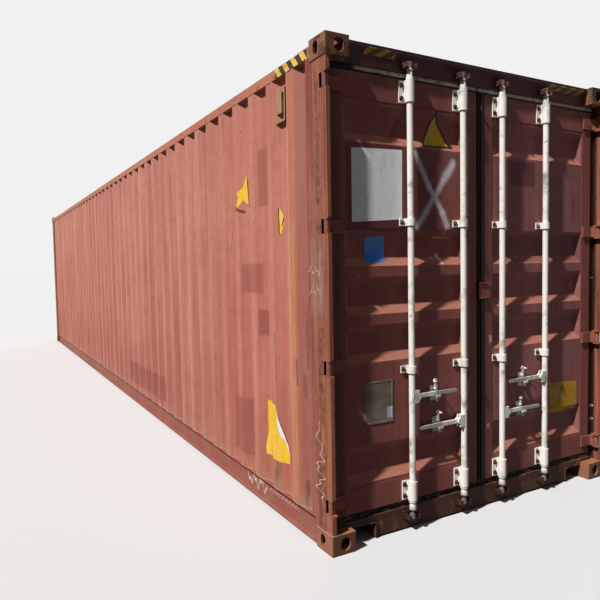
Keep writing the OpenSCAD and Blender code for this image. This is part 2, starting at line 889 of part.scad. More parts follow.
// Plates that guard the roof beside the four top castings
module roof_guards() {
    color(PAINT) for (sx = [-1, 1], sy = [-1, 1])
        mirror([sx > 0 ? 1 : 0, 0, 0]) mirror([0, sy > 0 ? 1 : 0, 0])
            translate([-half_w + side_inset + roof_edge, -half_l + cast_l, roof_top])
                cube([cast_w + guard_l, guard_l, guard_t]);
}

// Base

// One crossmember, a channel across the container, at y
module crossmember(y, x0, x1) {
    translate([x0, y, cross_z]) rotate([90, 0, 90]) linear_extrude(x1 - x0) {
        square([cross_t, cross_h]);
        square([cross_w, cross_t]);
        translate([0, cross_h - cross_t]) square([cross_w, cross_t]);
    }
}

module crossmembers() {
    x = half_w - side_inset - rail_web - bottom_rail_t;
    y0 = -half_l + cast_l + cross_first;
    n = floor((body_l - 2 * cast_l - cross_first - tunnel_l) / cross_pitch);
    color(SHADE) for (i = [0 : n]) crossmember(y0 + i * cross_pitch, -x, x);
}

module tunnel_outriggers() {
    x0 = tunnel_w / 2 + tunnel_t;
    x1 = half_w - side_inset - rail_web - bottom_rail_t;
    n = floor((tunnel_l - cast_l - rigger_last) / cross_pitch);
    color(SHADE) for (s = [-1, 1], i = [0 : n])
        mirror([s > 0 ? 1 : 0, 0, 0])
            crossmember(half_l - tunnel_l + rigger_first + i * cross_pitch, -x1, -x0);
}

module gooseneck_tunnel() {
    w = tunnel_w / 2;
    y1 = side_inset + front_rail_d;
    color(SHADE) translate([-w - tunnel_t, half_l - tunnel_l, floor_z - tunnel_t])
        cube([2 * (w + tunnel_t), tunnel_l - y1, tunnel_t]);
}

// Upright plates beside the tunnel
module tunnel_sides() {
    y1 = side_inset + front_rail_d;
    color(SHADE) for (s = [0, 1]) mirror([s, 0, 0])
        translate([-tunnel_w / 2 - tunnel_t, half_l - tunnel_l, base_lift])
            cube([tunnel_t, tunnel_l - y1, floor_z - tunnel_t - base_lift]);
}

module floor_boards() {
    x1 = half_w - side_inset - bottom_rail_w - floor_side;
    y0 = -half_l + cast_l + floor_gap;
    y1 = half_l - side_inset - front_rail_d;
    l = (y1 - y0 + floor_gap) / floor_n;
    cut_x = side_inset + front_post_w + floor_side;
    cut_y = post_l + floor_side;
    color("tan") difference() {
        for (s = [0, 1], i = [0 : floor_n - 1])
            translate([s > 0 ? floor_gap / 2 : -x1, y0 + i * l, floor_z])
                cube([x1 - floor_gap / 2, l - floor_gap, floor_t]);
        // Notches around the front posts
        for (s = [0, 1]) mirror([s, 0, 0])
            translate([-half_w, half_l - cut_y, floor_z - 1]) cube([cut_x, cut_y, floor_t + 2]);
    }
}

// Vents

// Moulded vent in a recess of the left side wall: a hood with a slit beside it and a mouth below
module wall_vent(y) {
    foot = (wall_pitch - wall_flat) / 2 - wall_slope - vent_side;
    half = vent_w / 2;
    face = vent_y;
    back = wall_d - vent_t;
    a = half - vent_rim;
    b = foot - vent_t;
    z1 = vent_h - vent_head;
    translate([-half_w + wall_x, y, top_rail_z - vent_drop - vent_h]) difference() {
        linear_extrude(vent_h) polygon([[wall_d, -foot], [face, -half], [face, half], [wall_d, foot]]);
        // Slit beside the hood and the mouth under it
        translate([0, 0, vent_rim]) linear_extrude(z1 - vent_rim)
            polygon([[face - 1, -a], [back, -b], [back, -b + vent_slit / 2], [face - 1, -a + vent_slit]]);
        translate([0, 0, vent_rim]) linear_extrude(vent_mouth)
            polygon([[face - 1, -a], [back, -b], [back, b], [face - 1, a]]);
        for (k = [-1, 1]) translate([face - 1, k * vent_rim, vent_h - vent_head / 2])
            rotate([0, 90, 0]) cylinder(d = vent_hole_d, h = vent_rim);
    }
}

module wall_vents() {
    y = -wall_run / 2 + wall_edge + wall_pitch;
    color("gray") {
        wall_vent(y);
        mirror([1, 0, 0]) wall_vent(-y);
    }
}

// Keepers on the header and sill

// Forged keeper about the rod axis, its foot at z 0
module keeper(z) {
    w = keeper_in + keeper_t;
    y0 = prong_y + keeper_t / 2;
    y1 = end_face_y - keeper_plate;
    prong_z = (keeper_h - prong_h) / 2;
    translate([0, -half_l, z]) {
        translate([-w - keeper_side, y1, 0]) cube([2 * (w + keeper_side), keeper_plate, keeper_h]);
        for (s = [-1, 1]) translate([s > 0 ? keeper_in : -w, 0, prong_z]) linear_extrude(prong_h) {
            translate([0, y0]) square([keeper_t, y1 - y0 + eps]);
            translate([keeper_t / 2, y0]) circle(d = keeper_t);
        }
    }
}

module cam_keepers() {
    color(RUST) for (s = [-1, 1], x = [rod_mid, rod_out]) translate([s * x, 0, 0]) {
        keeper(keeper_top_z);
        keeper(keeper_low_z);
    }
}

// Door leaves

// Door frame of the left leaf: two box stiles and two channels between them
module door_frame(side) {
    t = frame_t;
    color(SHADE) on_side(side) {
        for (x = [-leaf_edge, -leaf_mid - stile_w])
            translate([x, -half_l + door_y, leaf_z]) linear_extrude(leaf_h) difference() {
                square([stile_w, frame_d]);
                translate([t, t]) square([stile_w - 2 * t, frame_d - 2 * t]);
            }
        across(-panel_x1, -panel_x0) translate([door_y, leaf_top]) mirror([0, 1])
            door_channel();
        across(-panel_x1, -panel_x0) translate([door_y, leaf_z]) door_channel();
    }
}

// Section of a horizontal frame member, its web on the leaf's edge
module door_channel() {
    t = frame_t;
    square([t, door_rail_h]);
    square([frame_d, t]);
    translate([frame_d - t, 0]) square([t, door_rail_h]);
}

// Shape of a rib, wide at depth 0 and narrower at its bottom, grown for a sheet t thick
module pressed(x0, x1, z0, z1, t) {
    d = rib_d;
    ex = rib_end;
    ez = rib_slope;
    gx = bend(t, d, ex);
    gz = bend(t, d, ez);
    intersection() {
        across(x0 - gx, x1 + gx) polygon([
            [-1, z0 - gz - ez / d], [-1, z1 + gz + ez / d], [d, z1 + gz - ez], [d, z0 - gz + ez]
        ]);
        translate([0, -half_l, z0 - ez]) linear_extrude(z1 - z0 + 2 * ez) polygon([
            [x0 - gx - ex / d, -1], [x1 + gx + ex / d, -1], [x1 + gx - ex, d], [x0 - gx + ex, d]
        ]);
    }
}

// Pressed panel of a leaf, with its ribs pushed inward
module door_panel(side) {
    z0 = leaf_z + door_rail_h;
    x0 = -panel_x1;
    x1 = -panel_x0;
    a = rib_side;
    h = rib_h / 2;
    color(SHADE) on_side(side) difference() {
        union() {
            translate([x0, -half_l + panel_y, z0]) cube([x1 - x0, panel_t, panel_h]);
            for (r = rib_list) translate([0, panel_y + panel_t, door_mid_z + r])
                pressed(x0 + a, x1 - a, -h, h, panel_t);
        }
        for (r = rib_list) translate([0, panel_y, door_mid_z + r])
            pressed(x0 + a, x1 - a, -h, h, 0);
    }
}

// Rubber seal around a leaf: a core and two lips, cut along the meeting edge
module door_seal(side) {
    edge = half_w - post_w - seal_gap;
    mid = -leaf_mid + seal_left;
    x1 = side < 0 ? mid : -mid - seal_split;
    z0 = sill_z + seal_gap;
    z1 = header_z - seal_gap;
    a = seal_lip;
    color(BLACK) on_side(side) difference() {
        union() {
            seal_ring(-edge, x1, z0, z1, seal_y, seal_lip_t);
            seal_ring(-edge + a, x1 - a / 2, z0 + 2 * a, z1 - 2 * a, seal_y, seal_d);
            seal_ring(-edge, x1, z0, z1, seal_y + seal_d - seal_lip_t, seal_lip_t);
        }
        translate([-leaf_edge, -half_l, leaf_z]) cube([leaf_edge - leaf_mid, cast_l, leaf_h]);
    }
}

// Block of seal between x0 and x1, z0 and z1
module seal_ring(x0, x1, z0, z1, y, d) {
    translate([x0, -half_l + y, z0]) cube([x1 - x0, d, z1 - z0]);
}

// Hinge blade of a leaf in plan: barrel, arm and flat
module blade_plan() {
    foot_x = leaf_in - blade_lap;
    difference() {
        union() {
            translate([pin_x, pin_y]) circle(d = barrel_d);
            bar2([pin_x, pin_y], [foot_x, blade_y + blade_t / 2], blade_t);
            translate([foot_x, blade_y]) square([blade_l, blade_t]);
        }
        translate([pin_x, pin_y]) circle(d = pin_d + pin_gap);
    }
}

module door_hinges(side) {
    color(PAINT) on_side(side) for (i = [0 : hinge_n - 1])
        translate([0, 0, hinge_z + i * hinge_pitch])
            door_corner(-barrel_h / 2, barrel_h / 2) blade_plan();
}

// Guide that holds a rod to the leaf: barrel, foot and a flange with two bolts
module rod_guide(h, back) {
    bolt_x = -flange_l + bolt_in;
    translate([0, -half_l, 0]) {
        linear_extrude(h) difference() {
            union() {
                translate([0, rod_y]) circle(d = guide_d);
                translate([-guide_w / 2, rod_y]) square([guide_w, back - rod_y]);
                translate([-flange_l, back - flange_t]) square([flange_l + flange_s, flange_t]);
            }
            translate([0, rod_y]) circle(d = rod_d + rod_gap);
        }
        for (z = h > 2 * mid_guide_h ? [h * 0.2, h * 0.8] : [h / 2])
            translate([bolt_x, back - flange_t + eps, z]) rotate([90, 0, 0])
                cylinder(d = guide_bolt_d, h = flange_t, $fn = 6);
    }
}

module rod_guides(side) {
    color(CREAM) for (x = [rod_mid, rod_out]) translate([side * x, 0, 0]) {
        translate([0, 0, top_guide_z]) rod_guide(guide_h, door_y);
        translate([0, 0, low_guide_z]) rod_guide(low_guide_h, door_y);
        for (z = [mid_guide_lo, mid_guide_hi])
            translate([0, 0, z - mid_guide_h / 2]) rod_guide(mid_guide_h, panel_y);
    }
}

// Retainer of a handle, about the handle's height, for a handle that points to +X
module handle_retainer() {
    t = retainer_t;
    y1 = panel_y - t;
    y0 = bar_y0 - t;
    shelf_z = -handle_h / 2 - shelf_gap;
    plate_z = -retainer_h / 2 - 4;
    translate([retainer_x, -half_l, 0]) {
        translate([-retainer_w / 2, y1, plate_z]) cube([retainer_w, t, retainer_h]);
        // Shelf under the bar, with a short lip turned down
        translate([-shelf_w / 2, y0, shelf_z - t]) cube([shelf_w, y1 - y0 + eps, t]);
        translate([-shelf_w / 2, y0, shelf_z - t - shelf_lip]) cube([shelf_w, t, shelf_lip + eps]);
        for (s = [-1, 1])
            translate([s * (retainer_w - retainer_bolt_d - 4) / 2, y1 + eps, plate_z + retainer_bolt_d - 2])
                rotate([90, 0, 0]) cylinder(d = retainer_bolt_d, h = t, $fn = 6);
        // Pivot of the catch
        translate([0, y1 + eps, catch_z]) rotate([90, 0, 0]) cylinder(d = catch_eye, h = 2 * t - 1);
        translate([0, y1 + eps, catch_z]) rotate([90, 0, 0]) cylinder(d = catch_pin_d, h = 2 * t + catch_t + 4);
        // Padlock ring under the shelf
        translate([0, bar_y0 + 10, shelf_z - t - ring_r + 1]) rotate([90, 0, 0])
            rotate_extrude() translate([ring_r, 0]) circle(d = ring_d, $fn = 24);
    }
}

module handle_retainers(side) {
    color(CREAM) for (i = side < 0 ? [0, 1] : [2, 3])
        at_handle(i) handle_retainer();
}

// Plate on the right leaf that closes over the left one, with its gusset
module overlap_plate() {
    x0 = -leaf_mid + seal_left + seal_split - 1;
    z0 = leaf_z + leaf_h / 2 - overlap_h / 2;
    l = leaf_mid - x0;
    color(SHADE) translate([x0, -half_l, z0]) {
        translate([0, door_y - overlap_t, 0]) cube([l + overlap_w, overlap_t, overlap_h]);
        for (z = [0, overlap_h - gusset_t])
            translate([0, door_y - gusset_d, z]) cube([l + overlap_w / 2, gusset_d, gusset_t]);
    }
}

// Lock rods

rod_x = [-rod_out, -rod_mid, rod_mid, rod_out];
rod_dir = [1, -1, 1, -1];
rod_hz = [handle_hi, handle_lo, handle_lo, handle_hi];

// Places a handle part on rod i, drawn for a handle that points to +X
module at_handle(i) {
    translate([rod_x[i], 0, rod_hz[i]]) mirror([rod_dir[i] > 0 ? 0 : 1, 0, 0]) children();
}

// Cam lobe in plan, about the rod axis
module cam_plan() {
    w = cam_r * 2 / 3;
    circle(d = neck_d + 4);
    bar2([-cam_r + w / 2, 0], [cam_r - w / 2, 0], w);
    bar2([0, 0], [0, cam_r - w / 2], w);
}

// Rod with cams, collars and handle hub
module lock_rod(i) {
    r = rod_d / 2;
    n = neck_d / 2;
    c0 = cam_low_z;
    c1 = cam_top_z + cam_h;
    low = low_guide_z - collar_gap;
    top = top_guide_z + guide_h + collar_gap;
    l1 = low - collar_h;
    l2 = l1 - collar_gap;
    l3 = l2 - cone_h;
    t1 = top + cone_h;
    t2 = t1 + collar_h - collar_gap;
    t3 = t2 + collar_h;
    color(CREAM) {
        translate([rod_x[i], -half_l + rod_y, 0]) {
            rotate_extrude() polygon([
                [0, c0], [n, c0], [n, l3 - collar_gap], [r * 1.25, l3], [r * 0.9, l2],
                [r * 1.3, l1], [r * 1.3, low], [r, low], [r, top],
                [r * 1.2, top], [r * 0.85, t1], [n, t1 + collar_gap], [n, t2 - collar_gap],
                [r * 1.1, t2], [r * 1.1, t3], [n, t3 + collar_gap], [n, c1], [0, c1]
            ]);
            for (z = [c0, cam_top_z]) translate([0, 0, z]) linear_extrude(cam_h) cam_plan();
        }
        at_handle(i) translate([0, -half_l + rod_y, 0]) handle_hub();
    }
}

// Two cheeks and the pin that carry a handle
module handle_hub() {
    r = rod_d / 2;
    x0 = r - hub_in;
    t = hub_t;
    gap = handle_t / 2 + hub_gap;
    for (s = [-1, 1]) translate([0, s > 0 ? gap + t : -gap, 0]) rotate([90, 0, 0])
        linear_extrude(t) {
            translate([x0, -hub_h / 2]) square([hub_x - x0 + 4, hub_h]);
            translate([hub_x, 0]) circle(d = hub_d);
        }
    translate([x0, -gap - 1, -hub_h / 2]) cube([hub_in + eps, 2 * gap + 2, hub_h]);
    translate([hub_x, gap + t - 1, 0]) rotate([90, 0, 0]) cylinder(d = hub_pin_d, h = 2 * (gap + t) - 2);
}

// Handle bar that points to +X, about the rod axis
module handle_bar() {
    h = handle_h;
    g = grip_h / 2;
    x0 = retainer_x - grip_in;
    x1 = handle_l - g;
    translate([0, handle_t / 2, 0]) rotate([90, 0, 0]) linear_extrude(handle_t) difference() {
        union() {
            bar2([hub_x, 0], [x0 + g, 0], h);
            polygon([[x0, -h / 2], [x1, -g - 1], [x1, g - 1], [x0, h / 2]]);
            translate([x1, -1]) circle(d = grip_h);
        }
        translate([hub_x, 0]) circle(d = hub_pin_d + hub_gap);
    }
}

module rod_handle(i) {
    color(CREAM) at_handle(i) translate([0, -half_l + rod_y, 0]) handle_bar();
}

// Catch that turns down over the bar, drawn upright in its own plane
module catch_body() {
    r = hook_r;
    w = 2 * r / 3;
    difference() {
        union() {
            bar2([0, 0], [0, catch_l - r - 4], catch_w);
            translate([0, catch_l - 2]) difference() {
                circle(r = r + w / 2);
                circle(r = r - w / 2);
                translate([0, -r - w]) square([r + w, r + w / 2]);
            }
            circle(d = catch_eye);
        }
        circle(d = catch_pin_d + hub_gap);
    }
}

module handle_catch(i) {
    y = panel_y - 3 * retainer_t;
    color(CREAM) at_handle(i) translate([retainer_x, -half_l + y, catch_z]) {
        rotate([90, 0, 0]) linear_extrude(catch_t) catch_body();
        // Nose that reaches forward over the bar
        translate([-hook_r, 0, catch_l - 2]) rotate([90, 0, 0]) cylinder(d = nose_d, h = y - bar_y0 - 3);
    }
}

corner_casting(-1, -1, true);  // casting_door_top_left
corner_casting(1, -1, true);  // casting_door_top_right
corner_casting(-1, -1, false);  // casting_door_bottom_left
corner_casting(1, -1, false);  // casting_door_bottom_right
corner_casting(-1, 1, true);  // casting_front_top_left
corner_casting(1, 1, true);  // casting_front_top_right
corner_casting(-1, 1, false);  // casting_front_bottom_left
corner_casting(1, 1, false);  // casting_front_bottom_right
door_post(-1);  // door_post_left
door_post(1);  // door_post_right
front_post(-1);  // front_post_left
front_post(1);  // front_post_right
door_header();
door_sill();
front_top_rail();
front_bottom_rail();
top_side_rail(-1);  // top_rail_left
top_side_rail(1);  // top_rail_right
bottom_side_rail(-1);  // bottom_rail_left
bottom_side_rail(1);  // bottom_rail_right
side_wall(-1);  // side_wall_left
side_wall(1);  // side_wall_right
front_wall();
roof_sheet();
roof_guards();
crossmembers();
tunnel_outriggers();
gooseneck_tunnel();
tunnel_sides();
floor_boards();
cam_keepers();
wall_vents();
door_frame(-1);  // door_frame_left
door_frame(1);  // door_frame_right
door_panel(-1);  // door_panel_left
door_panel(1);  // door_panel_right
door_seal(-1);  // door_seal_left
door_seal(1);  // door_seal_right
door_hinges(-1);  // door_hinges_left
door_hinges(1);  // door_hinges_right
rod_guides(-1);  // rod_guides_left
rod_guides(1);  // rod_guides_right
handle_retainers(-1);  // handle_retainers_left
handle_retainers(1);  // handle_retainers_right
overlap_plate();
lock_rod(0);  // lock_rod_1
lock_rod(1);  // lock_rod_2
lock_rod(2);  // lock_rod_3
lock_rod(3);  // lock_rod_4
rod_handle(0);  // rod_handle_1
rod_handle(1);  // rod_handle_2
rod_handle(2);  // rod_handle_3
rod_handle(3);  // rod_handle_4
handle_catch(0);  // handle_catch_1
handle_catch(1);  // handle_catch_2
handle_catch(2);  // handle_catch_3
handle_catch(3);  // handle_catch_4
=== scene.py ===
import math

import bmesh
import bpy
from bpy.props import FloatProperty, FloatVectorProperty, IntProperty, PointerProperty
from mathutils import Matrix, Vector, noise


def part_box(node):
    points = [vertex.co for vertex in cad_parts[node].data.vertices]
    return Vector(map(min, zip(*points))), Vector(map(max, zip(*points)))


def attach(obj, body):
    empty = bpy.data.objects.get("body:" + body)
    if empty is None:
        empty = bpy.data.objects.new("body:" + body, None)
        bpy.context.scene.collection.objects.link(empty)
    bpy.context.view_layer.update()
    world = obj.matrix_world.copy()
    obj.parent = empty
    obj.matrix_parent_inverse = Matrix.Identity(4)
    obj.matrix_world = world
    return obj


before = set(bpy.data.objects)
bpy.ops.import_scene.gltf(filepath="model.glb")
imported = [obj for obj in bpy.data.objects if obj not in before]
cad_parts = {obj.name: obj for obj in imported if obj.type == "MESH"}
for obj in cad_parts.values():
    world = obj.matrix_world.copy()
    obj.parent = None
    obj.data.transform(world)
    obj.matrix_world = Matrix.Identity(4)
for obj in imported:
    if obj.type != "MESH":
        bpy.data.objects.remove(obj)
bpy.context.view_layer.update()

bl_info = {
    "name": "Shipping container",
    "version": (1, 0, 0),
    "blender": (4, 5, 0),
    "location": "3D View > Sidebar > Container",
    "description": "Worn paint, rust, plates, marks, bolts and welds for a forty foot high cube container",
    "category": "Object",
}

# Planes and places of the CAD parts, in metres

END_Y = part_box("casting_door_bottom_left")[0].y
FRONT_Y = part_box("casting_front_bottom_left")[1].y
TOP_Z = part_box("casting_door_top_left")[1].z
WALL_X = -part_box("side_wall_left")[0].x
WALL_LOW, WALL_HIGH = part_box("side_wall_left")[0].z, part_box("side_wall_left")[1].z
PANEL_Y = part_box("door_panel_left")[0].y
STILE_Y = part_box("door_frame_left")[0].y
RAIL_LOW, RAIL_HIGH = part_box("top_rail_left")[0].z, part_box("top_rail_left")[1].z
LEAF_LOW, LEAF_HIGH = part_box("door_frame_left")[0].z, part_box("door_frame_left")[1].z

# Wave of the side walls and ribs of the door panels
WAVE_PITCH, WAVE_FLAT, WAVE_SLOPE, WAVE_DEPTH = 0.277, 0.080, 0.068, 0.036
WAVE_FIRST = END_Y + 0.3775
RIB_DEPTH, RIB_HEIGHT, RIB_SLOPE, RIB_PITCH = 0.036, 0.222, 0.052, 0.285
RIB_FAR = (LEAF_HIGH - LEAF_LOW) / 2 - 0.147 - 0.020 - RIB_HEIGHT / 2
RIBS = [(LEAF_LOW + LEAF_HIGH) / 2 + r for r in (-RIB_FAR, -RIB_PITCH, 0, RIB_PITCH, RIB_FAR)]

CASTING_LONG, CASTING_HIGH = 0.178, 0.118
# The side walls start this far from the ends, and their welds follow them in steps of this length
WALL_START, FOOT_STEP = 0.225, 0.0345

RODS = [-0.606, -0.176, 0.176, 0.606]
GUIDE_BOLTS = [0.2136, 0.2844, 1.0, 1.892, 2.624, 2.702]


def wall_depth(y):
    """How far the side wall lies behind its outer plane at y."""
    half = WAVE_FLAT / 2
    away = abs((y - WAVE_FIRST - half + WAVE_PITCH / 2) % WAVE_PITCH - WAVE_PITCH / 2)
    return WAVE_DEPTH * min(1, max(0, (away - half) / WAVE_SLOPE))


def door_depth(z):
    """How far the door panel lies behind its flat at z."""
    for middle in RIBS:
        away = RIB_HEIGHT / 2 - abs(z - middle)
        if away > 0:
            return RIB_DEPTH * min(1, away / RIB_SLOPE)
    return 0.0


# Colours and sizes that a user would change


def srgb(text):
    """Linear colour of a hex sRGB colour."""
    parts = [int(text[i:i + 2], 16) / 255 for i in (0, 2, 4)]
    return tuple(p / 12.92 if p <= 0.04045 else ((p + 0.055) / 1.055) ** 2.4 for p in parts)


def colour(name, text, note):
    return FloatVectorProperty(
        name=name, description=note, default=srgb(text), min=0, max=1, size=3, subtype="COLOR")


def length(name, value, note):
    return FloatProperty(name=name, description=note, default=value, min=0, unit="LENGTH", subtype="DISTANCE")


def share(name, value, note):
    return FloatProperty(name=name, description=note, default=value, min=0, max=1, subtype="FACTOR")


class ContainerFinish(bpy.types.PropertyGroup):
    """Colours and wear of the finishes."""
    side_paint: colour("Side paint", "9d5a50", "Paint of the walls where it is least faded")
    side_faded: colour("Faded side paint", "c78c7c", "Paint of the walls where the sun has bleached it")
    end_paint: colour("Door paint", "713f3a", "Paint of the doors where it is least faded")
    end_faded: colour("Faded door paint", "9f645c", "Paint of the doors where it is faded")
    # Bleached door paint, also used as painted light on faces that look up
    end_bleached_lit: colour("Bleached door paint", "af7463",
                         "Paint of the doors on faces that look up to the sun")
    repaint: colour("Touched up paint", "8a4a44", "Fresher paint of touched up places")
    rust: colour("Rust", "4a2a1e", "Old dark rust")
    rust_bright: colour("Bright rust", "a8683c", "Thin orange rust")
    zinc: colour("Lock gear", "e7e4dd", "Chalky coat of the rods, guides and handles")
    zinc_dark: colour("Worn lock gear", "8f8a80", "Bare worn metal of the lock gear")
    rubber: colour("Rubber", "0f0d0c", "Seals of the doors")
    rubber_aged: colour("Aged rubber", "24241f", "Weathered upper seal")
    vent: colour("Vent", "966c51", "Faded face of the vents")
    underside: colour("Underside", "3b2c28", "Coating of the base")
    board: colour("Floor board", "94714c", "Plywood floor")
    yellow: colour("Yellow vinyl", "e0b31c", "Plain yellow vinyl of the side markers")
    yellow_pale: colour("Bleached yellow", "e6c25a", "Markers of the top rails in the sun")
    sign: colour("Door vinyl", "d2a828", "Plain yellow vinyl on the doors")
    blue: colour("Blue label", "1478dc", "Plain blue label")
    white: colour("White sheet", "f0f3f8", "Plain white sheet on the door")
    plate: colour("Plate", "6c5d4d", "Bare metal plate on the door")
    black: colour("Black", "1f1c1b", "Black bars of the edge markers")
    rust_amount: share("Rust amount", 0.5, "How much rust the paint shows")
    dust_height: length("Dust height", 0.5, "Height that dust and splashes reach")


class ContainerFittings(bpy.types.PropertyGroup):
    """Sizes of the plates, markers, bolts and welds."""
    vinyl: length("Vinyl thickness", 0.0008, "Thickness of stuck on vinyl")
    bolt_width: length("Bolt head width", 0.0215, "Width over the flats of a guide bolt")
    bolt_height: length("Bolt head height", 0.0105, "Height of a guide bolt head")
    rivet_width: length("Rivet width", 0.009, "Width of a plate's rivet heads")
    weld_radius: length("Weld radius", 0.004, "Radius of a weld bead")
    bar_width: length("Bar width", 0.052, "Width of the bars on an edge marker")
    seed: IntProperty(name="Seed", description="Seed of everything random", default=7, min=0)


class ContainerStage(bpy.types.PropertyGroup):
    """Light, floor and camera."""
    sun: FloatProperty(name="Key light", description="Strength of the key light", default=5.4, min=0)
    fill: FloatProperty(name="Fill light", description="Strength of the light from all round", default=0.08,
                        min=0)
    back: FloatProperty(name="Back light", description="Strength of the soft light from behind",
                        default=1.3, min=0)
    floor: colour("Floor", "c6c8cb", "Floor as the camera sees it")
    lens: FloatProperty(name="Lens", description="Focal length in millimetres on a 36 mm sensor",
                        default=35.06, min=10, unit="CAMERA")


# Short calls for node trees


class Board:
    """A node tree with short calls that add a node and join its inputs."""

    def __init__(self, tree):
        self.tree = tree
        self.object_place = None

    def join(self, value, socket):
        """Links an output to a socket, or sets its plain value; a colour may be hex text."""
        if isinstance(value, bpy.types.NodeSocket):
            self.tree.links.new(value, socket)
        elif socket.type == "RGBA":
            value = srgb(value) if isinstance(value, str) else value
            socket.default_value = (*value[:3], 1.0)
        else:
            socket.default_value = value

    def node(self, kind, inputs=None, out=0, **settings):
        made = self.tree.nodes.new(kind)
        for name, value in settings.items():
            setattr(made, name, value)
        for key, value in (inputs or {}).items():
            self.join(value, made.inputs[key])
        return made.outputs[out]

    def use(self, tree, **inputs):
        made = self.tree.nodes.new("ShaderNodeGroup")
        made.node_tree = tree
        for name, value in inputs.items():
            self.join(value, made.inputs[name.replace("_", " ").capitalize()])
        return made.outputs

    def place(self):
        if self.object_place is None:
            self.object_place = self.node("ShaderNodeTexCoord", out=3)
        return self.object_place

    def facing(self, axis):
        """How far the face looks along an axis of the object."""
        turned = self.node("ShaderNodeTexCoord", out=1)
        return self.part(axis, turned)

    def part(self, axis, vector=None):
        """One part of a vector, or of the place on the object."""
        return self.node("ShaderNodeSeparateXYZ", {0: self.place() if vector is None else vector}, out=axis)

    def math(self, operation, a, b=0.0, clamp=False):
        return self.node("ShaderNodeMath", {0: a, 1: b}, operation=operation, use_clamp=clamp)

    def times(self, a, b):
        return self.math("MULTIPLY", a, b)

    def plus(self, a, b, clamp=False):
        return self.math("ADD", a, b, clamp)

    def minus(self, a, b):
        return self.math("SUBTRACT", a, b)

    def vector(self, operation, a, b=(0, 0, 0), out=0):
        return self.node("ShaderNodeVectorMath", {0: a, 1: b}, out=out, operation=operation)

    def ramp(self, value, low, high, start=0.0, end=1.0):
        sockets = {"Value": value, "From Min": low, "From Max": high, "To Min": start, "To Max": end}
        return self.node("ShaderNodeMapRange", sockets, interpolation_type="SMOOTHSTEP")

    def mix(self, amount, a, b, blend="MIX"):
        return self.node("ShaderNodeMix", {0: amount, 6: a, 7: b}, out=2, data_type="RGBA", blend_type=blend)

    def grain(self, scale, detail=3.0, rough=0.55, stretch=(1, 1, 1), shift=0.0):
        place = self.vector("MULTIPLY", self.place(), stretch)
        if shift:
            place = self.vector("ADD", place, (shift, shift * 1.7, shift * 0.6))
        sockets = {"Vector": place, "Scale": scale, "Detail": detail, "Roughness": rough}
        return self.node("ShaderNodeTexNoise", sockets)


def effect(name, inputs, outputs, build):
    """A shader node group, built once. Inputs are (name, kind, value), outputs (name, kind)."""
    tree = bpy.data.node_groups.get(name)
    if tree is None:
        tree = bpy.data.node_groups.new(name, "ShaderNodeTree")
        for label, kind, value in inputs:
            socket = tree.interface.new_socket(name=label, in_out="INPUT", socket_type="NodeSocket" + kind)
            socket.default_value = value
        for label, kind in outputs:
            tree.interface.new_socket(name=label, in_out="OUTPUT", socket_type="NodeSocket" + kind)
        board = Board(tree)
        given = tree.nodes.new("NodeGroupInput").outputs
        result = tree.nodes.new("NodeGroupOutput").inputs
        for label, value in build(board, given).items():
            board.join(value, result[label])
    return tree


# Shared effects


def worn_edges():
    def build(b, given):
        rounded = b.node("ShaderNodeBevel", {"Radius": given["Radius"]}, samples=4)
        flat = b.node("ShaderNodeNewGeometry", out=1)
        turn = b.vector("DOT_PRODUCT", rounded, flat, out=1)
        edge = b.ramp(turn, 0.998, 0.90)
        broken = b.ramp(b.grain(given["Scale"], 4, 0.65), 0.36, 0.60)
        return {"Mask": b.times(edge, broken), "Normal": rounded}
    return effect("worn edges", [("Radius", "Float", 0.004), ("Scale", "Float", 30.0)],
                  [("Mask", "Float"), ("Normal", "Vector")], build)


def rust_spots():
    def build(b, given):
        less = b.times(given["Amount"], 0.30)
        low = b.minus(0.76, less)
        spots = b.ramp(b.grain(given["Scale"], 6, 0.68), low, b.plus(low, 0.06))
        wide = b.ramp(b.grain(given["Scale"], 2, 0.5, shift=3.0), 0.42, 0.62)
        runs = b.grain(given["Scale"], 4, 0.6, stretch=(1, 1, 0.10), shift=9.0)
        runs = b.ramp(runs, b.minus(low, 0.02), b.plus(low, 0.14))
        return {"Spots": spots, "Runs": b.times(runs, wide)}
    return effect("rust spots", [("Scale", "Float", 12.0), ("Amount", "Float", 0.5)],
                  [("Spots", "Float"), ("Runs", "Float")], build)


def rain_streaks():
    def build(b, given):
        fine = b.grain(given["Scale"], 3, 0.6, stretch=(1, 1, 0.03))
        broad = b.grain(b.times(given["Scale"], 0.22), 2, 0.5, stretch=(1, 1, 0.10), shift=5.0)
        both = b.plus(b.times(fine, 0.55), b.times(broad, 0.45))
        return {"Value": both}
    return effect("rain streaks", [("Scale", "Float", 20.0)], [("Value", "Float")], build)


def ground_dust():
    def build(b, given):
        height = b.part(2)
        low = b.ramp(height, given["Height"], 0.0)
        patchy = b.ramp(b.grain(7.0, 5, 0.65), 0.30, 0.75)
        return {"Mask": b.times(low, patchy)}
    return effect("ground dust", [("Height", "Float", 0.5)], [("Mask", "Float")], build)


def marked_patch():
    def build(b, given):
        wobble = b.vector("MULTIPLY", b.node("ShaderNodeTexNoise", {
            "Vector": b.place(), "Scale": 26.0, "Detail": 3.0}, out=1), (0.012, 0.012, 0.012))
        away = b.vector("ABSOLUTE", b.vector("SUBTRACT", b.vector("ADD", b.place(), wobble), given["Centre"]))
        past = b.vector("SUBTRACT", away, given["Half"])
        x, y, z = (b.part(i, past) for i in range(3))
        worst = b.math("MAXIMUM", b.math("MAXIMUM", x, y), z)
        return {"Mask": b.ramp(worst, given["Soft"], b.times(given["Soft"], -1.0))}
    return effect("marked patch", [("Centre", "Vector", (0, 0, 0)), ("Half", "Vector", (1, 1, 1)),
                                   ("Soft", "Float", 0.01)], [("Mask", "Float")], build)


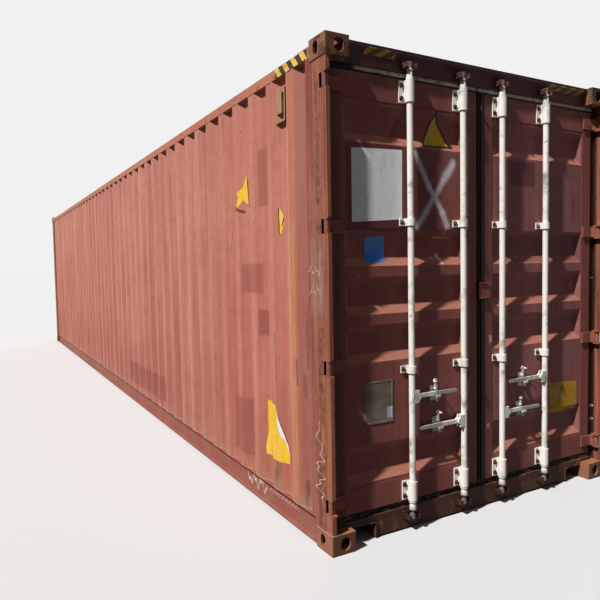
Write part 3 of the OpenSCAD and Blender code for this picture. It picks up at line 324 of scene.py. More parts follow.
def marked_stroke():
    def build(b, given):
        along = b.vector("MULTIPLY", b.vector("SUBTRACT", given["End"], given["Start"]), given["Plane"])
        out = b.vector("MULTIPLY", b.vector("SUBTRACT", b.place(), given["Start"]), given["Plane"])
        part = b.math("DIVIDE", b.vector("DOT_PRODUCT", out, along, out=1),
                      b.vector("DOT_PRODUCT", along, along, out=1), clamp=True)
        foot = b.node("ShaderNodeVectorMath", {0: along, "Scale": part}, operation="SCALE")
        gap = b.vector("DISTANCE", out, foot, out=1)
        gap = b.plus(gap, b.times(b.minus(b.grain(24.0, 3), 0.5), given["Rough"]))
        solid = b.ramp(gap, given["Width"], b.times(given["Width"], b.minus(1.0, given["Blur"])))
        return {"Mask": b.times(solid, b.ramp(b.grain(160.0, 2), 0.25, 0.55, given["Least"], 1.0))}
    return effect("marked stroke", [
        ("Start", "Vector", (0, 0, 0)), ("End", "Vector", (0, 0, 1)), ("Width", "Float", 0.01),
        ("Blur", "Float", 0.5), ("Rough", "Float", 0.01), ("Least", "Float", 0.45),
        ("Plane", "Vector", (1, 1, 1))],
        [("Mask", "Float")], build)


def streaked_patch():
    def build(b, given):
        area = b.use(marked_patch(), centre=given["Centre"], half=given["Half"], soft=given["Soft"])[0]
        streaks = b.grain(given["Scale"], 5, 0.7, stretch=(1, 1, 0.045))
        return {"Mask": b.times(area, b.ramp(streaks, 0.42, 0.58))}
    return effect("streaked patch", [
        ("Centre", "Vector", (0, 0, 0)), ("Half", "Vector", (1, 1, 1)), ("Soft", "Float", 0.01),
        ("Scale", "Float", 40.0)], [("Mask", "Float")], build)


def wave_band():
    def build(b, given):
        y, z = b.part(1), b.part(2)
        part = b.math("DIVIDE", b.minus(y, given["First"]), given["Pitch"])
        run = b.times(b.math("FRACT", part), given["Pitch"])
        inside = b.times(b.ramp(run, b.minus(given["Low"], given["Soft"]), given["Low"]),
                        b.ramp(run, b.plus(given["High"], given["Soft"]), given["High"]))
        below = b.ramp(z, given["Top"], b.minus(given["Top"], 1.0), 0.15, 1.0)
        broken = b.ramp(b.grain(13.0, 4, 0.65, stretch=(1, 1, 0.07)), 0.30, 0.62, given["Least"], 1.0)
        return {"Mask": b.times(b.times(inside, below), broken)}
    return effect("wave band", [
        ("First", "Float", 0.0), ("Pitch", "Float", 0.277), ("Low", "Float", 0.02), ("High", "Float", 0.1),
        ("Soft", "Float", 0.02), ("Top", "Float", 2.0), ("Least", "Float", 0.5)], [("Mask", "Float")], build)


def chalk_wave():
    def build(b, given):
        y, z = b.part(1), b.part(2)
        turn = given["Upright"]
        along = b.plus(b.times(z, turn), b.times(y, b.minus(1.0, turn)))
        across = b.plus(b.times(y, turn), b.times(z, b.minus(1.0, turn)))
        run = b.math("DIVIDE", along, given["Pitch"])
        swing = b.plus(b.math("SINE", run), b.times(b.math("SINE", b.times(run, 2.3)), 0.6))
        line = b.plus(given["Centre"], b.times(swing, given["Swing"]))
        gap = b.math("ABSOLUTE", b.minus(across, line))
        drawn = b.ramp(gap, given["Width"], b.times(given["Width"], 0.4))
        inside = b.times(b.math("GREATER_THAN", along, given["Low"]),
                         b.math("LESS_THAN", along, given["High"]))
        broken = b.ramp(b.grain(90.0, 3), 0.30, 0.55, 0.35, 1.0)
        return {"Mask": b.times(b.times(drawn, inside), broken)}
    return effect("chalk wave", [
        ("Upright", "Float", 1.0), ("Low", "Float", 0.0), ("High", "Float", 1.0), ("Centre", "Float", 0.0),
        ("Swing", "Float", 0.03), ("Pitch", "Float", 0.02), ("Width", "Float", 0.004)], [("Mask", "Float")],
                  build)


def aged_paint():
    def build(b, given):
        streaks = b.use(rain_streaks(), scale=given["Streak scale"])[0]
        broad = b.times(b.minus(b.grain(0.8, 4, 0.6), 0.5), given["Cloud"])
        lines = b.times(b.minus(streaks, 0.5), given["Streaks"])
        fade = b.plus(b.plus(given["Fade"], broad), lines, clamp=True)
        base = b.mix(fade, given["Paint"], given["Faded"])
        tone = b.ramp(b.grain(11.0, 6, 0.7), 0.25, 0.75, 0.88, 1.08)
        base = b.mix(1.0, base, tone, "MULTIPLY")
        stain = b.mix(0.45, given["Paint"], given["Rust"])
        runs = b.grain(given["Streak scale"], 4, 0.62, stretch=(2.6, 2.6, 0.035), shift=6.0)
        runs = b.times(b.ramp(runs, 0.585, 0.66), b.ramp(b.grain(1.7, 3, 0.6, shift=2.0), 0.40, 0.62))
        base = b.mix(b.times(runs, given["Run strength"]), base, stain)
        spots = b.use(rust_spots(), scale=given["Rust scale"], amount=given["Rust amount"])
        rust = b.mix(b.ramp(b.grain(55.0, 4, 0.6), 0.35, 0.62), given["Rust"], given["Bright rust"])
        bloom = b.mix(0.5, given["Paint"], given["Bright rust"])
        base = b.mix(b.times(spots["Runs"], 0.5), base, bloom)
        pits = b.math("MAXIMUM", spots["Spots"], given["Edge"], clamp=True)
        base = b.mix(b.times(pits, 0.85), base, rust)
        rough = b.ramp(pits, 0.0, 1.0, 0.6, 0.85)
        fine = b.times(b.grain(70.0, 4, 0.6), 0.35)
        return {"Color": base, "Roughness": rough, "Height": b.plus(fine, b.times(pits, 0.5))}
    return effect("aged paint", [
        ("Paint", "Color", (0.3, 0.1, 0.08, 1)), ("Faded", "Color", (0.5, 0.2, 0.15, 1)),
        ("Rust", "Color", (0.07, 0.02, 0.01, 1)), ("Bright rust", "Color", (0.4, 0.15, 0.05, 1)),
        ("Fade", "Float", 0.5), ("Cloud", "Float", 0.6), ("Streaks", "Float", 1.0),
        ("Streak scale", "Float", 20.0),
        ("Run strength", "Float", 0.5), ("Rust scale", "Float", 12.0), ("Rust amount", "Float", 0.5),
        ("Edge", "Float", 0.0)],
        [("Color", "Color"), ("Roughness", "Float"), ("Height", "Float")], build)


# Materials


def new_material(name, shine=0.5):
    """An empty material with a Principled shader: the material, its board and the shader's inputs."""
    made = bpy.data.materials.new(name)
    made.use_nodes = True
    made.node_tree.nodes.clear()
    board = Board(made.node_tree)
    shader = made.node_tree.nodes.new("ShaderNodeBsdfPrincipled")
    output = made.node_tree.nodes.new("ShaderNodeOutputMaterial")
    made.node_tree.links.new(shader.outputs[0], output.inputs["Surface"])
    shader.inputs["Specular IOR Level"].default_value = shine
    return made, board, shader.inputs


def bump(board, sockets, height, depth, normal=None):
    inputs = {"Height": height, "Distance": depth, "Strength": 1.0}
    if normal is not None:
        inputs["Normal"] = normal
    board.join(board.node("ShaderNodeBump", inputs), sockets["Normal"])


def marked(b, base, marks, outer=None):
    """Lays marks (mask effect, inputs, colour, strength) over a colour.

    Outer is the axis whose low side shows them; without it they show all round.
    """
    outside = b.ramp(b.facing(outer), -0.02, -0.12) if outer is not None and marks else 1.0
    for mask, inputs, shade, strength in marks:
        shown = b.times(b.use(mask(), **inputs)["Mask"], outside)
        base = b.mix(b.times(shown, strength), base, shade)
    return base


def painted(name, paint, faded, fade=0.5, streaks=1.0, streak_scale=20.0, rust_scale=12.0, rust=0.5,
            edge=0.004, dust=0.0, marks=(), bleached=None, outer=None):
    """Aged paint over steel, with rust, dust from the ground and marks."""
    look = bpy.context.scene.container_finish
    made, b, sockets = new_material(name, 0.12)
    worn = b.use(worn_edges(), radius=edge) if edge else None
    paint_out = b.use(
        aged_paint(), paint=paint, faded=faded, rust=look.rust, bright_rust=look.rust_bright, fade=fade,
        streaks=streaks, streak_scale=streak_scale, rust_scale=rust_scale,
        rust_amount=rust * 2 * look.rust_amount, edge=worn["Mask"] if worn else 0.0)
    base = paint_out["Color"]
    if bleached is not None:
        # Faces that look up turn lighter: partly sun-bleached paint, partly painted light where the key light
        # falls
        up_bleach_highlight = b.times(b.ramp(b.facing(2), 0.25, 0.6), b.ramp(b.grain(14.0, 4, 0.6), 0.2, 0.6, 0.6, 1.0))
        base = b.mix(b.times(up_bleach_highlight, 0.8), base, bleached)
    base = marked(b, base, marks, outer)
    if dust:
        low = b.use(ground_dust(), height=look.dust_height)["Mask"]
        base = b.mix(b.times(low, dust), base, "8a7362")
    b.join(base, sockets["Base Color"])
    b.join(paint_out["Roughness"], sockets["Roughness"])
    bump(b, sockets, paint_out["Height"], 0.0006, worn["Normal"] if worn else None)
    return made


def cast_rust(name, dark, bright, paint, kept=0.2, shade=0.0):
    """Rusted cast steel with remains of paint; shade is painted shade that darkens the faces at the ends."""
    made, b, sockets = new_material(name, 0.15)
    worn = b.use(worn_edges(), radius=0.005, scale=14.0)
    rust = b.mix(b.ramp(b.grain(16.0, 6, 0.7), 0.36, 0.62), dark, bright)
    rust = b.mix(b.times(b.ramp(b.grain(90.0, 4, 0.6), 0.45, 0.7), 0.35), rust, "2b1a14")
    left = b.ramp(b.grain(9.0, 5, 0.7, shift=4.0), 0.60 - kept * 0.5, 0.66 - kept * 0.5)
    left = b.times(left, b.minus(1.0, worn["Mask"]))
    base = b.mix(b.times(left, 0.75), rust, paint)
    # Painted shade: faces that look along the length, at the ends, are darkened
    ends = b.ramp(b.math("ABSOLUTE", b.facing(1)), 0.5, 0.8, 0.0, shade)
    base = b.mix(ends, base, "2c1f1a")
    base = b.mix(b.times(worn["Mask"], 0.5), base, bright)
    b.join(base, sockets["Base Color"])
    b.join(b.ramp(left, 0, 1, 0.85, 0.6), sockets["Roughness"])
    bump(b, sockets, b.grain(60.0, 6, 0.7), 0.0016, worn["Normal"])
    return made


def chalky_zinc(name, rust=0.35, dark=0.2, marks=()):
    """Chalky coat with small rust spots and bare worn places."""
    look = bpy.context.scene.container_finish
    made, b, sockets = new_material(name, 0.3)
    worn = b.use(worn_edges(), radius=0.003, scale=50.0)
    base = b.mix(b.ramp(b.grain(9.0, 5, 0.65), 0.60 - dark * 0.4, 0.85 - dark * 0.4), look.zinc,
                 look.zinc_dark)
    base = b.mix(b.ramp(b.grain(40.0, 5, 0.7, stretch=(1, 1, 0.25)), 0.52, 0.80, 0, 0.28), base, "a08f78")
    base = marked(b, base, marks)
    spots = b.use(rust_spots(), scale=26.0, amount=rust)
    tint = b.mix(b.ramp(b.grain(80.0, 3), 0.4, 0.6), look.rust, look.rust_bright)
    pits = b.math("MAXIMUM", spots["Spots"], b.times(worn["Mask"], 0.6), clamp=True)
    base = b.mix(b.times(spots["Runs"], 0.35), base, "9a6f4c")
    base = b.mix(b.times(pits, 0.85), base, tint)
    b.join(base, sockets["Base Color"])
    b.join(b.ramp(pits, 0, 1, 0.48, 0.85), sockets["Roughness"])
    bump(b, sockets, b.plus(b.grain(130.0, 4), b.times(pits, 0.4)), 0.0004, worn["Normal"])
    return made


def seal_rubber():
    """Black rubber; the upper seal has a grey green face and a pale lip, partly weathered and partly painted
    highlight.
    """
    look = bpy.context.scene.container_finish
    made, b, sockets = new_material("door rubber", 0.04)
    height = b.part(2)
    ragged = b.times(b.minus(b.grain(22.0, 5, 0.7, stretch=(1, 1, 0.3)), 0.5), 0.016)
    height = b.plus(height, ragged)
    face = b.ramp(height, LEAF_HIGH + 0.006, LEAF_HIGH + 0.013)
    aged = b.times(face, b.ramp(b.grain(18.0, 5, 0.7), 0.25, 0.5, 0.45, 1.0))
    base = b.mix(aged, look.rubber, look.rubber_aged)
    lip = b.ramp(height, LEAF_HIGH + 0.011, LEAF_HIGH + 0.017)
    lip = b.times(lip, b.ramp(b.grain(34.0, 5, 0.7, shift=4.0), 0.34, 0.50, 0.30, 1.0))
    side = b.part(0)
    # Painted highlight on the pale lip where the sun catches it, besides its weathering; left off near the left
    # corner as painted shadow of the casting
    base = b.mix(b.times(lip, b.ramp(side, -1.000, -0.940)), base, "e2dac8")
    chalk = b.ramp(b.grain(30.0, 5, 0.7, stretch=(1, 1, 0.2)), 0.62, 0.82, 0.0, 0.25)
    base = b.mix(chalk, base, "6b6660")
    foot = b.times(b.ramp(height, 0.20, 0.17), b.ramp(b.grain(16.0, 6, 0.75, stretch=(1, 1, 3)), 0.50, 0.64))
    base = b.mix(b.times(foot, 0.7), base, "8f8778")
    b.join(base, sockets["Base Color"])
    b.join(b.ramp(chalk, 0, 0.25, 0.55, 0.85), sockets["Roughness"])
    bump(b, sockets, b.plus(b.grain(90.0, 4), b.times(lip, 3.0)), 0.0008)
    return made


def plywood():
    look = bpy.context.scene.container_finish
    made, b, sockets = new_material("floor board", 0.25)
    bands = b.grain(3.0, 6, 0.7, stretch=(14, 1, 14))
    base = b.mix(b.ramp(bands, 0.3, 0.7), look.board, "6a4c30")
    scuff = b.ramp(b.grain(2.2, 5, 0.7), 0.5, 0.75, 0.0, 0.6)
    base = b.mix(scuff, base, "4a3d33")
    b.join(base, sockets["Base Color"])
    b.join(b.ramp(scuff, 0, 0.6, 0.6, 0.8), sockets["Roughness"])
    bump(b, sockets, b.grain(3.0, 8, 0.8, stretch=(60, 1, 60)), 0.0008)
    return made


def vinyl(name, shade, dirt=0.4, gloss=0.42, chips=None, scale=22.0, marks=()):
    """Plain vinyl or sheet with dirt and fading; chips is the colour under it where it is worn off."""
    made, b, sockets = new_material(name, 0.12)
    base = b.mix(b.ramp(b.grain(6.0, 4, 0.6), 0.35, 0.75, 0.0, 0.12), shade, (1, 1, 1))
    soil = b.ramp(b.grain(scale, 6, 0.72, stretch=(1, 1, 0.4)), 0.52, 0.74, 0.0, dirt)
    base = b.mix(soil, base, "5f5044")
    if chips is not None:
        worn = b.ramp(b.grain(34.0, 6, 0.75, shift=2.0), 0.655, 0.675)
        base = b.mix(worn, base, chips)
    base = marked(b, base, marks)
    b.join(base, sockets["Base Color"])
    b.join(b.ramp(soil, 0, dirt, gloss, 0.8), sockets["Roughness"])
    bump(b, sockets, b.grain(18.0, 3), 0.0012)
    return made


def edge_bars(name, shade, dirt):
    """Slanted black and yellow bars, chipped down to paint and rust."""
    look = bpy.context.scene.container_finish
    pitch = bpy.context.scene.container_fittings.bar_width * 2
    made, b, sockets = new_material(name, 0.2)
    x, y, z = (b.part(i) for i in range(3))
    run = b.plus(b.plus(x, y), b.times(z, -0.8))
    part = b.math("FRACT", b.math("DIVIDE", run, pitch))
    bars = b.ramp(part, 0.49, 0.51)
    base = b.mix(bars, shade, look.black)
    chips = b.ramp(b.grain(45.0, 6, 0.7), 0.56, 0.60)
    base = b.mix(chips, base, b.mix(b.ramp(b.grain(90.0), 0.4, 0.6), look.rust_bright, look.end_paint))
    soil = b.ramp(b.grain(12.0, 5, 0.7), 0.40, 0.75, dirt * 0.3, dirt)
    base = b.mix(soil, base, "4a3628")
    b.join(base, sockets["Base Color"])
    b.join(b.ramp(chips, 0, 1, 0.5, 0.85), sockets["Roughness"])
    bump(b, sockets, b.minus(b.grain(60.0), chips), 0.0004)
    return made


def patch(low, high, soft=0.012):
    """Inputs of a marked patch between two corners."""
    low, high = Vector(low), Vector(high)
    centre = (low + high) / 2 + Vector((0.006,) * 3)
    return {"centre": tuple(centre), "half": tuple((high - low) / 2), "soft": soft}


def end_patch(x0, x1, z0, z1, shade, strength, soft, near=-6.1, far=-5.9):
    """A patch on the door end between two sides, two heights and two depths."""
    return marked_patch, patch((x0, near, z0), (x1, far, z1), soft), shade, strength


def wall_patch(b0, b1, z0, z1, shade, strength, soft=0.012, mask=marked_patch, **more):
    """A patch on the left wall, by run from the door end and height."""
    inputs = patch((-1.3, END_Y + b0, z0), (-1.1, END_Y + b1, z1), soft)
    return mask, {**inputs, **more}, shade, strength


def leaf_stroke(x0, z0, x1, z1, width, shade, strength, blur=0.6, rough=0.01, least=0.45):
    """A stroke on a door leaf between two places."""
    inputs = {"start": (x0, 0, z0), "end": (x1, 0, z1), "width": width, "blur": blur, "rough": rough,
              "least": least, "plane": (1, 0, 1)}
    return marked_stroke, inputs, shade, strength


def wall_stroke(b0, z0, b1, z1, width, shade, strength, blur=0.6, rough=0.006, least=0.45):
    """A stroke on a side wall between two places, by run from the door end and height."""
    inputs = {"start": (0, END_Y + b0, z0), "end": (0, END_Y + b1, z1), "width": width, "blur": blur,
              "rough": rough, "least": least, "plane": (0, 1, 1)}
    return marked_stroke, inputs, shade, strength


def chalk(upright, low, high, centre, swing, pitch, width, strength=0.6):
    """A plain wavy chalk line of a side, upright or level."""
    if upright:
        centre += END_Y
    else:
        low, high = low + END_Y, high + END_Y
    inputs = {"upright": float(upright), "low": low, "high": high, "centre": centre, "swing": swing,
              "pitch": pitch, "width": width}
    return chalk_wave, inputs, "d6cbc2", strength


def wave_mark(low, high, soft, top, least, shade, strength):
    """A band along every wave of the wall, by its run from the first flat."""
    inputs = {"first": WAVE_FIRST - WAVE_PITCH + WAVE_FLAT + WAVE_SLOPE, "pitch": WAVE_PITCH, "low": low,
              "high": high, "soft": soft, "top": top, "least": least}
    return wave_band, inputs, shade, strength


def wall_marks():
    """Touched up places, rust band, scratches, stains, painted shade and painted highlights of the left wall."""
    look = bpy.context.scene.container_finish
    dark, dull = "38231c", "5b463b"
    return [
        wall_patch(0.200, 1.500, -0.100, 3.000, "a8553f", 0.30, 0.300),
        wall_patch(0.200, 12.00, -0.200, 0.700, "8c4636", 0.30, 0.500),
        # Painted shade on each slope that faces the door end, stronger low down
        wave_mark(0.048, 0.130, 0.025, 2.3, 0.4, "86402f", 0.28),
        # Painted highlight: a faint pale line near the outer bend of each wave
        wave_mark(0.186, 0.198, 0.008, 2.9, -0.8, "e2ab8c", 0.13),
        wave_mark(0.027, 0.036, 0.006, 2.0, -1.2, "b8744a", 0.60),
        wall_patch(0.815, 0.905, 2.050, 2.430, look.repaint, 0.60),
        wall_patch(0.885, 1.195, 1.462, 1.665, look.repaint, 0.55),
        wall_patch(0.826, 0.925, 1.173, 1.346, look.repaint, 0.80),
        wall_patch(1.105, 1.425, 0.269, 0.682, look.repaint, 0.60),
        wall_patch(3.200, 4.800, 0.240, 0.500, "7d3f3f", 0.44),
        wall_patch(0.225, 0.372, 0.150, 2.800, "875850", 0.52),
        wall_patch(0.225, 0.330, 1.020, 1.420, "6c3a38", 0.60, 0.020, streaked_patch),
        wall_patch(0.372, 0.452, 0.150, 2.800, "a86a48", 0.35, 0.014),
        wall_patch(0.368, 0.456, 0.150, 2.800, "a56846", 0.55, 0.014, streaked_patch),
        wall_patch(0.392, 0.446, 0.200, 1.900, "c5936e", 0.50, 0.016, streaked_patch, scale=70.0),
        # Painted highlight along the bend at the end of the first outer flat
        wall_stroke(0.456, 0.20, 0.456, 2.78, 0.0035, "dcb79f", 0.60, 0.3, 0.003),
        wall_stroke(0.385, 0.92, 0.392, 1.07, 0.016, dark, 0.60, 0.7, 0.014),
        wall_stroke(0.330, 0.86, 0.335, 0.98, 0.022, dull, 0.50, 0.9, 0.020),
        wall_stroke(0.330, 0.18, 0.322, 0.330, 0.022, "3b2a22", 0.60, 0.9, 0.020),
        wall_stroke(0.668, 0.90, 0.684, 1.215, 0.007, dark, 0.55),
        wall_stroke(0.710, 0.20, 0.672, 0.350, 0.048, dull, 0.62, 0.9, 0.024),
        # Painted shadow under the lifted edges of the peeled sheet
        wall_stroke(1.262, 2.064, 1.165, 2.036, 0.013, "2a1a16", 0.85, 0.4),
        wall_stroke(1.262, 2.074, 1.240, 2.150, 0.006, "2a1a16", 0.80, 0.4, 0.003),
        wall_stroke(1.610, 2.060, 1.570, 2.068, 0.010, dark, 0.50, 0.7, 0.010),
        wall_stroke(1.420, 1.900, 1.440, 1.760, 0.005, dark, 0.45, 0.7, 0.008),
        wall_patch(0.250, 12.00, 0.130, 0.235, "a3846e", 0.45, 0.045, streaked_patch),
    ]


def cross_marks():
    """Two sprayed strokes, a touched up place, stains, a dark band along the foot and painted shade in the lower
    corner by the post, on the left leaf.
    """
    spray, stain = "dcd8e2", "2e1715"
    deep = "4a2026"
    return [
        end_patch(-1.045, -0.628, 1.840, 2.342, deep, 0.75, 0.008),
        leaf_stroke(-0.640, 2.490, -0.690, 2.400, 0.030, stain, 0.6, 0.9, 0.030),
        leaf_stroke(-0.295, 2.720, -0.295, 2.590, 0.020, stain, 0.5, 0.8, 0.010),
        end_patch(-0.600, -0.335, 1.840, 2.345, deep, 0.60, 0.030),
        leaf_stroke(-0.535, 2.320, -0.425, 2.120, 0.032, spray, 0.80, 0.95),
        leaf_stroke(-0.425, 2.120, -0.315, 1.960, 0.032, spray, 0.85, 0.95),
        leaf_stroke(-0.315, 1.960, -0.276, 1.880, 0.036, spray, 0.85, 0.90),
        leaf_stroke(-0.285, 1.880, -0.288, 1.822, 0.008, spray, 0.55, 0.90, 0.004),
        leaf_stroke(-0.225, 2.270, -0.523, 1.861, 0.034, spray, 0.80, 0.95),
        leaf_stroke(-0.225, 2.270, -0.300, 2.170, 0.046, spray, 0.70, 0.95, 0.018),
        leaf_stroke(-0.362, 1.806, -0.221, 1.804, 0.007, "b58a5c", 0.85, 0.4, 0.004),
        leaf_stroke(-0.340, 1.694, -0.314, 1.644, 0.012, "ddd9d4", 0.85, 0.4, 0.012),
        # Darker towards the bottom: a dark band along the foot of the leaf
        end_patch(-1.2, 0.1, 0.100, 0.236, "1d1412", 0.80, 0.034),
        # Painted shade in the lower corner by the post and the casting
        end_patch(-1.2, -0.880, 0.100, 0.280, "120c0b", 0.70, 0.030),
    ]


def right_leaf_marks():
    """Touched up places, a stain, painted shade in a rib recess and a dark band along the foot of the right leaf.
    """
    deep = "4b2125"
    return [
        end_patch(0.285, 0.546, 2.164, 2.329, deep, 0.65, 0.006),
        end_patch(1.094, 1.180, 2.155, 2.327, deep, 0.60, 0.006),
        # Painted shade in the recess of the rib above the middle one
        end_patch(0.256, 1.179, 1.637, 1.833, deep, 0.45, 0.010),
        leaf_stroke(0.960, 2.100, 0.960, 1.950, 0.016, "2e1715", 0.5, 0.8, 0.008),
        # Darker towards the bottom: a dark band along the foot of the leaf
        end_patch(0.0, 1.2, 0.100, 0.236, "1d1412", 0.80, 0.034),
    ]


def hinge_stile_painted_shade():
    """Painted shade on the hinge stile of the left leaf, where the post shades it."""
    return [end_patch(-1.25, -1.080, 0.100, 2.800, "1c0f0e", 0.62, 0.024)]


def meeting_marks():
    """Rust column, a black strip of seal colour and painted shade, and scuffs on the right leaf's meeting stile.
    """
    return [
        end_patch(0.060, 0.150, 0.180, 2.740, "5c3a34", 0.50, 0.026),
        # Black strip on the meeting edge: partly the black of the seal, partly painted shade in the gap between
        # the leaves
        end_patch(-0.010, 0.054, 0.180, 2.740, "0b0909", 0.96, 0.004),
        end_patch(0.092, 0.150, 1.106, 1.156, "cbb79a", 0.70, 0.008),
        end_patch(0.066, 0.092, 0.528, 0.556, "cbb79a", 0.60, 0.008),
    ]


def post_marks():
    """Painted shade in the inner channel and on the front edge, a pale streaked wash and plain chalk lines of the
    door posts.
    """
    dark = "16140f"
    marks = []
    # Painted shade: the inner channel of each post goes near-black
    for side in (-1, 1):
        low, high = sorted((side * 1.150, side * 1.2125))
        marks.append((marked_patch, patch((low, END_Y + 0.066, 0.1), (high, END_Y + 0.130, 2.8), 0.004),
                      dark, 0.92))
    # Painted shade on the inner front edge of the left post
    front_edge_shade = patch((-1.190, END_Y - 0.02, 0.3), (-1.150, END_Y + 0.066, 2.8), 0.004)
    marks.append((marked_patch, front_edge_shade, "1a0f0c", 0.85))
    wash = patch((-1.25, END_Y + 0.060, 1.380), (-1.18, END_Y + 0.200, 1.780), 0.060)
    return marks + [
        (streaked_patch, wash, "a08c82", 0.45),
        chalk(False, 0.095, 0.225, 1.612, 0.017, 0.0100, 0.0048, 0.7),
        chalk(False, 0.085, 0.220, 1.500, 0.020, 0.0085, 0.0045, 0.7),
        chalk(True, 0.290, 0.560, 0.130, 0.034, 0.0180, 0.0065, 0.9),
        chalk(True, 0.560, 0.750, 0.130, 0.026, 0.0330, 0.0045, 0.7),
    ]


def low_rail_marks():
    """Plain chalk lines on the left bottom rail."""
    return [chalk(False, 0.900, 1.240, 0.098, 0.030, 0.0190, 0.0150, 1.0),
            chalk(False, 0.450, 0.860, 0.112, 0.008, 0.0070, 0.0048, 0.7)]


def header_marks():
    """Dark upper edge, rusty lower edge and painted shadow of the casting at the left end of the header."""
    return [
        end_patch(-1.3, 1.3, 2.875, 2.95, "0f0b0a", 0.92, 0.005, -6.2, -6.044),
        end_patch(-1.0, -0.60, 2.770, 2.806, "7d5b49", 0.35, 0.016, -6.2),
        # Painted shadow of the casting at the left end of the header and seal
        end_patch(-1.1, -0.940, 2.760, 2.830, "0f0b0a", 0.85, 0.020, -6.2),
        end_patch(-0.55, 0.55, 2.768, 2.786, "5a3526", 0.55, 0.014, -6.2),
        end_patch(0.60, 1.02, 2.770, 2.826, "643a24", 0.65, 0.020, -6.2),
    ]


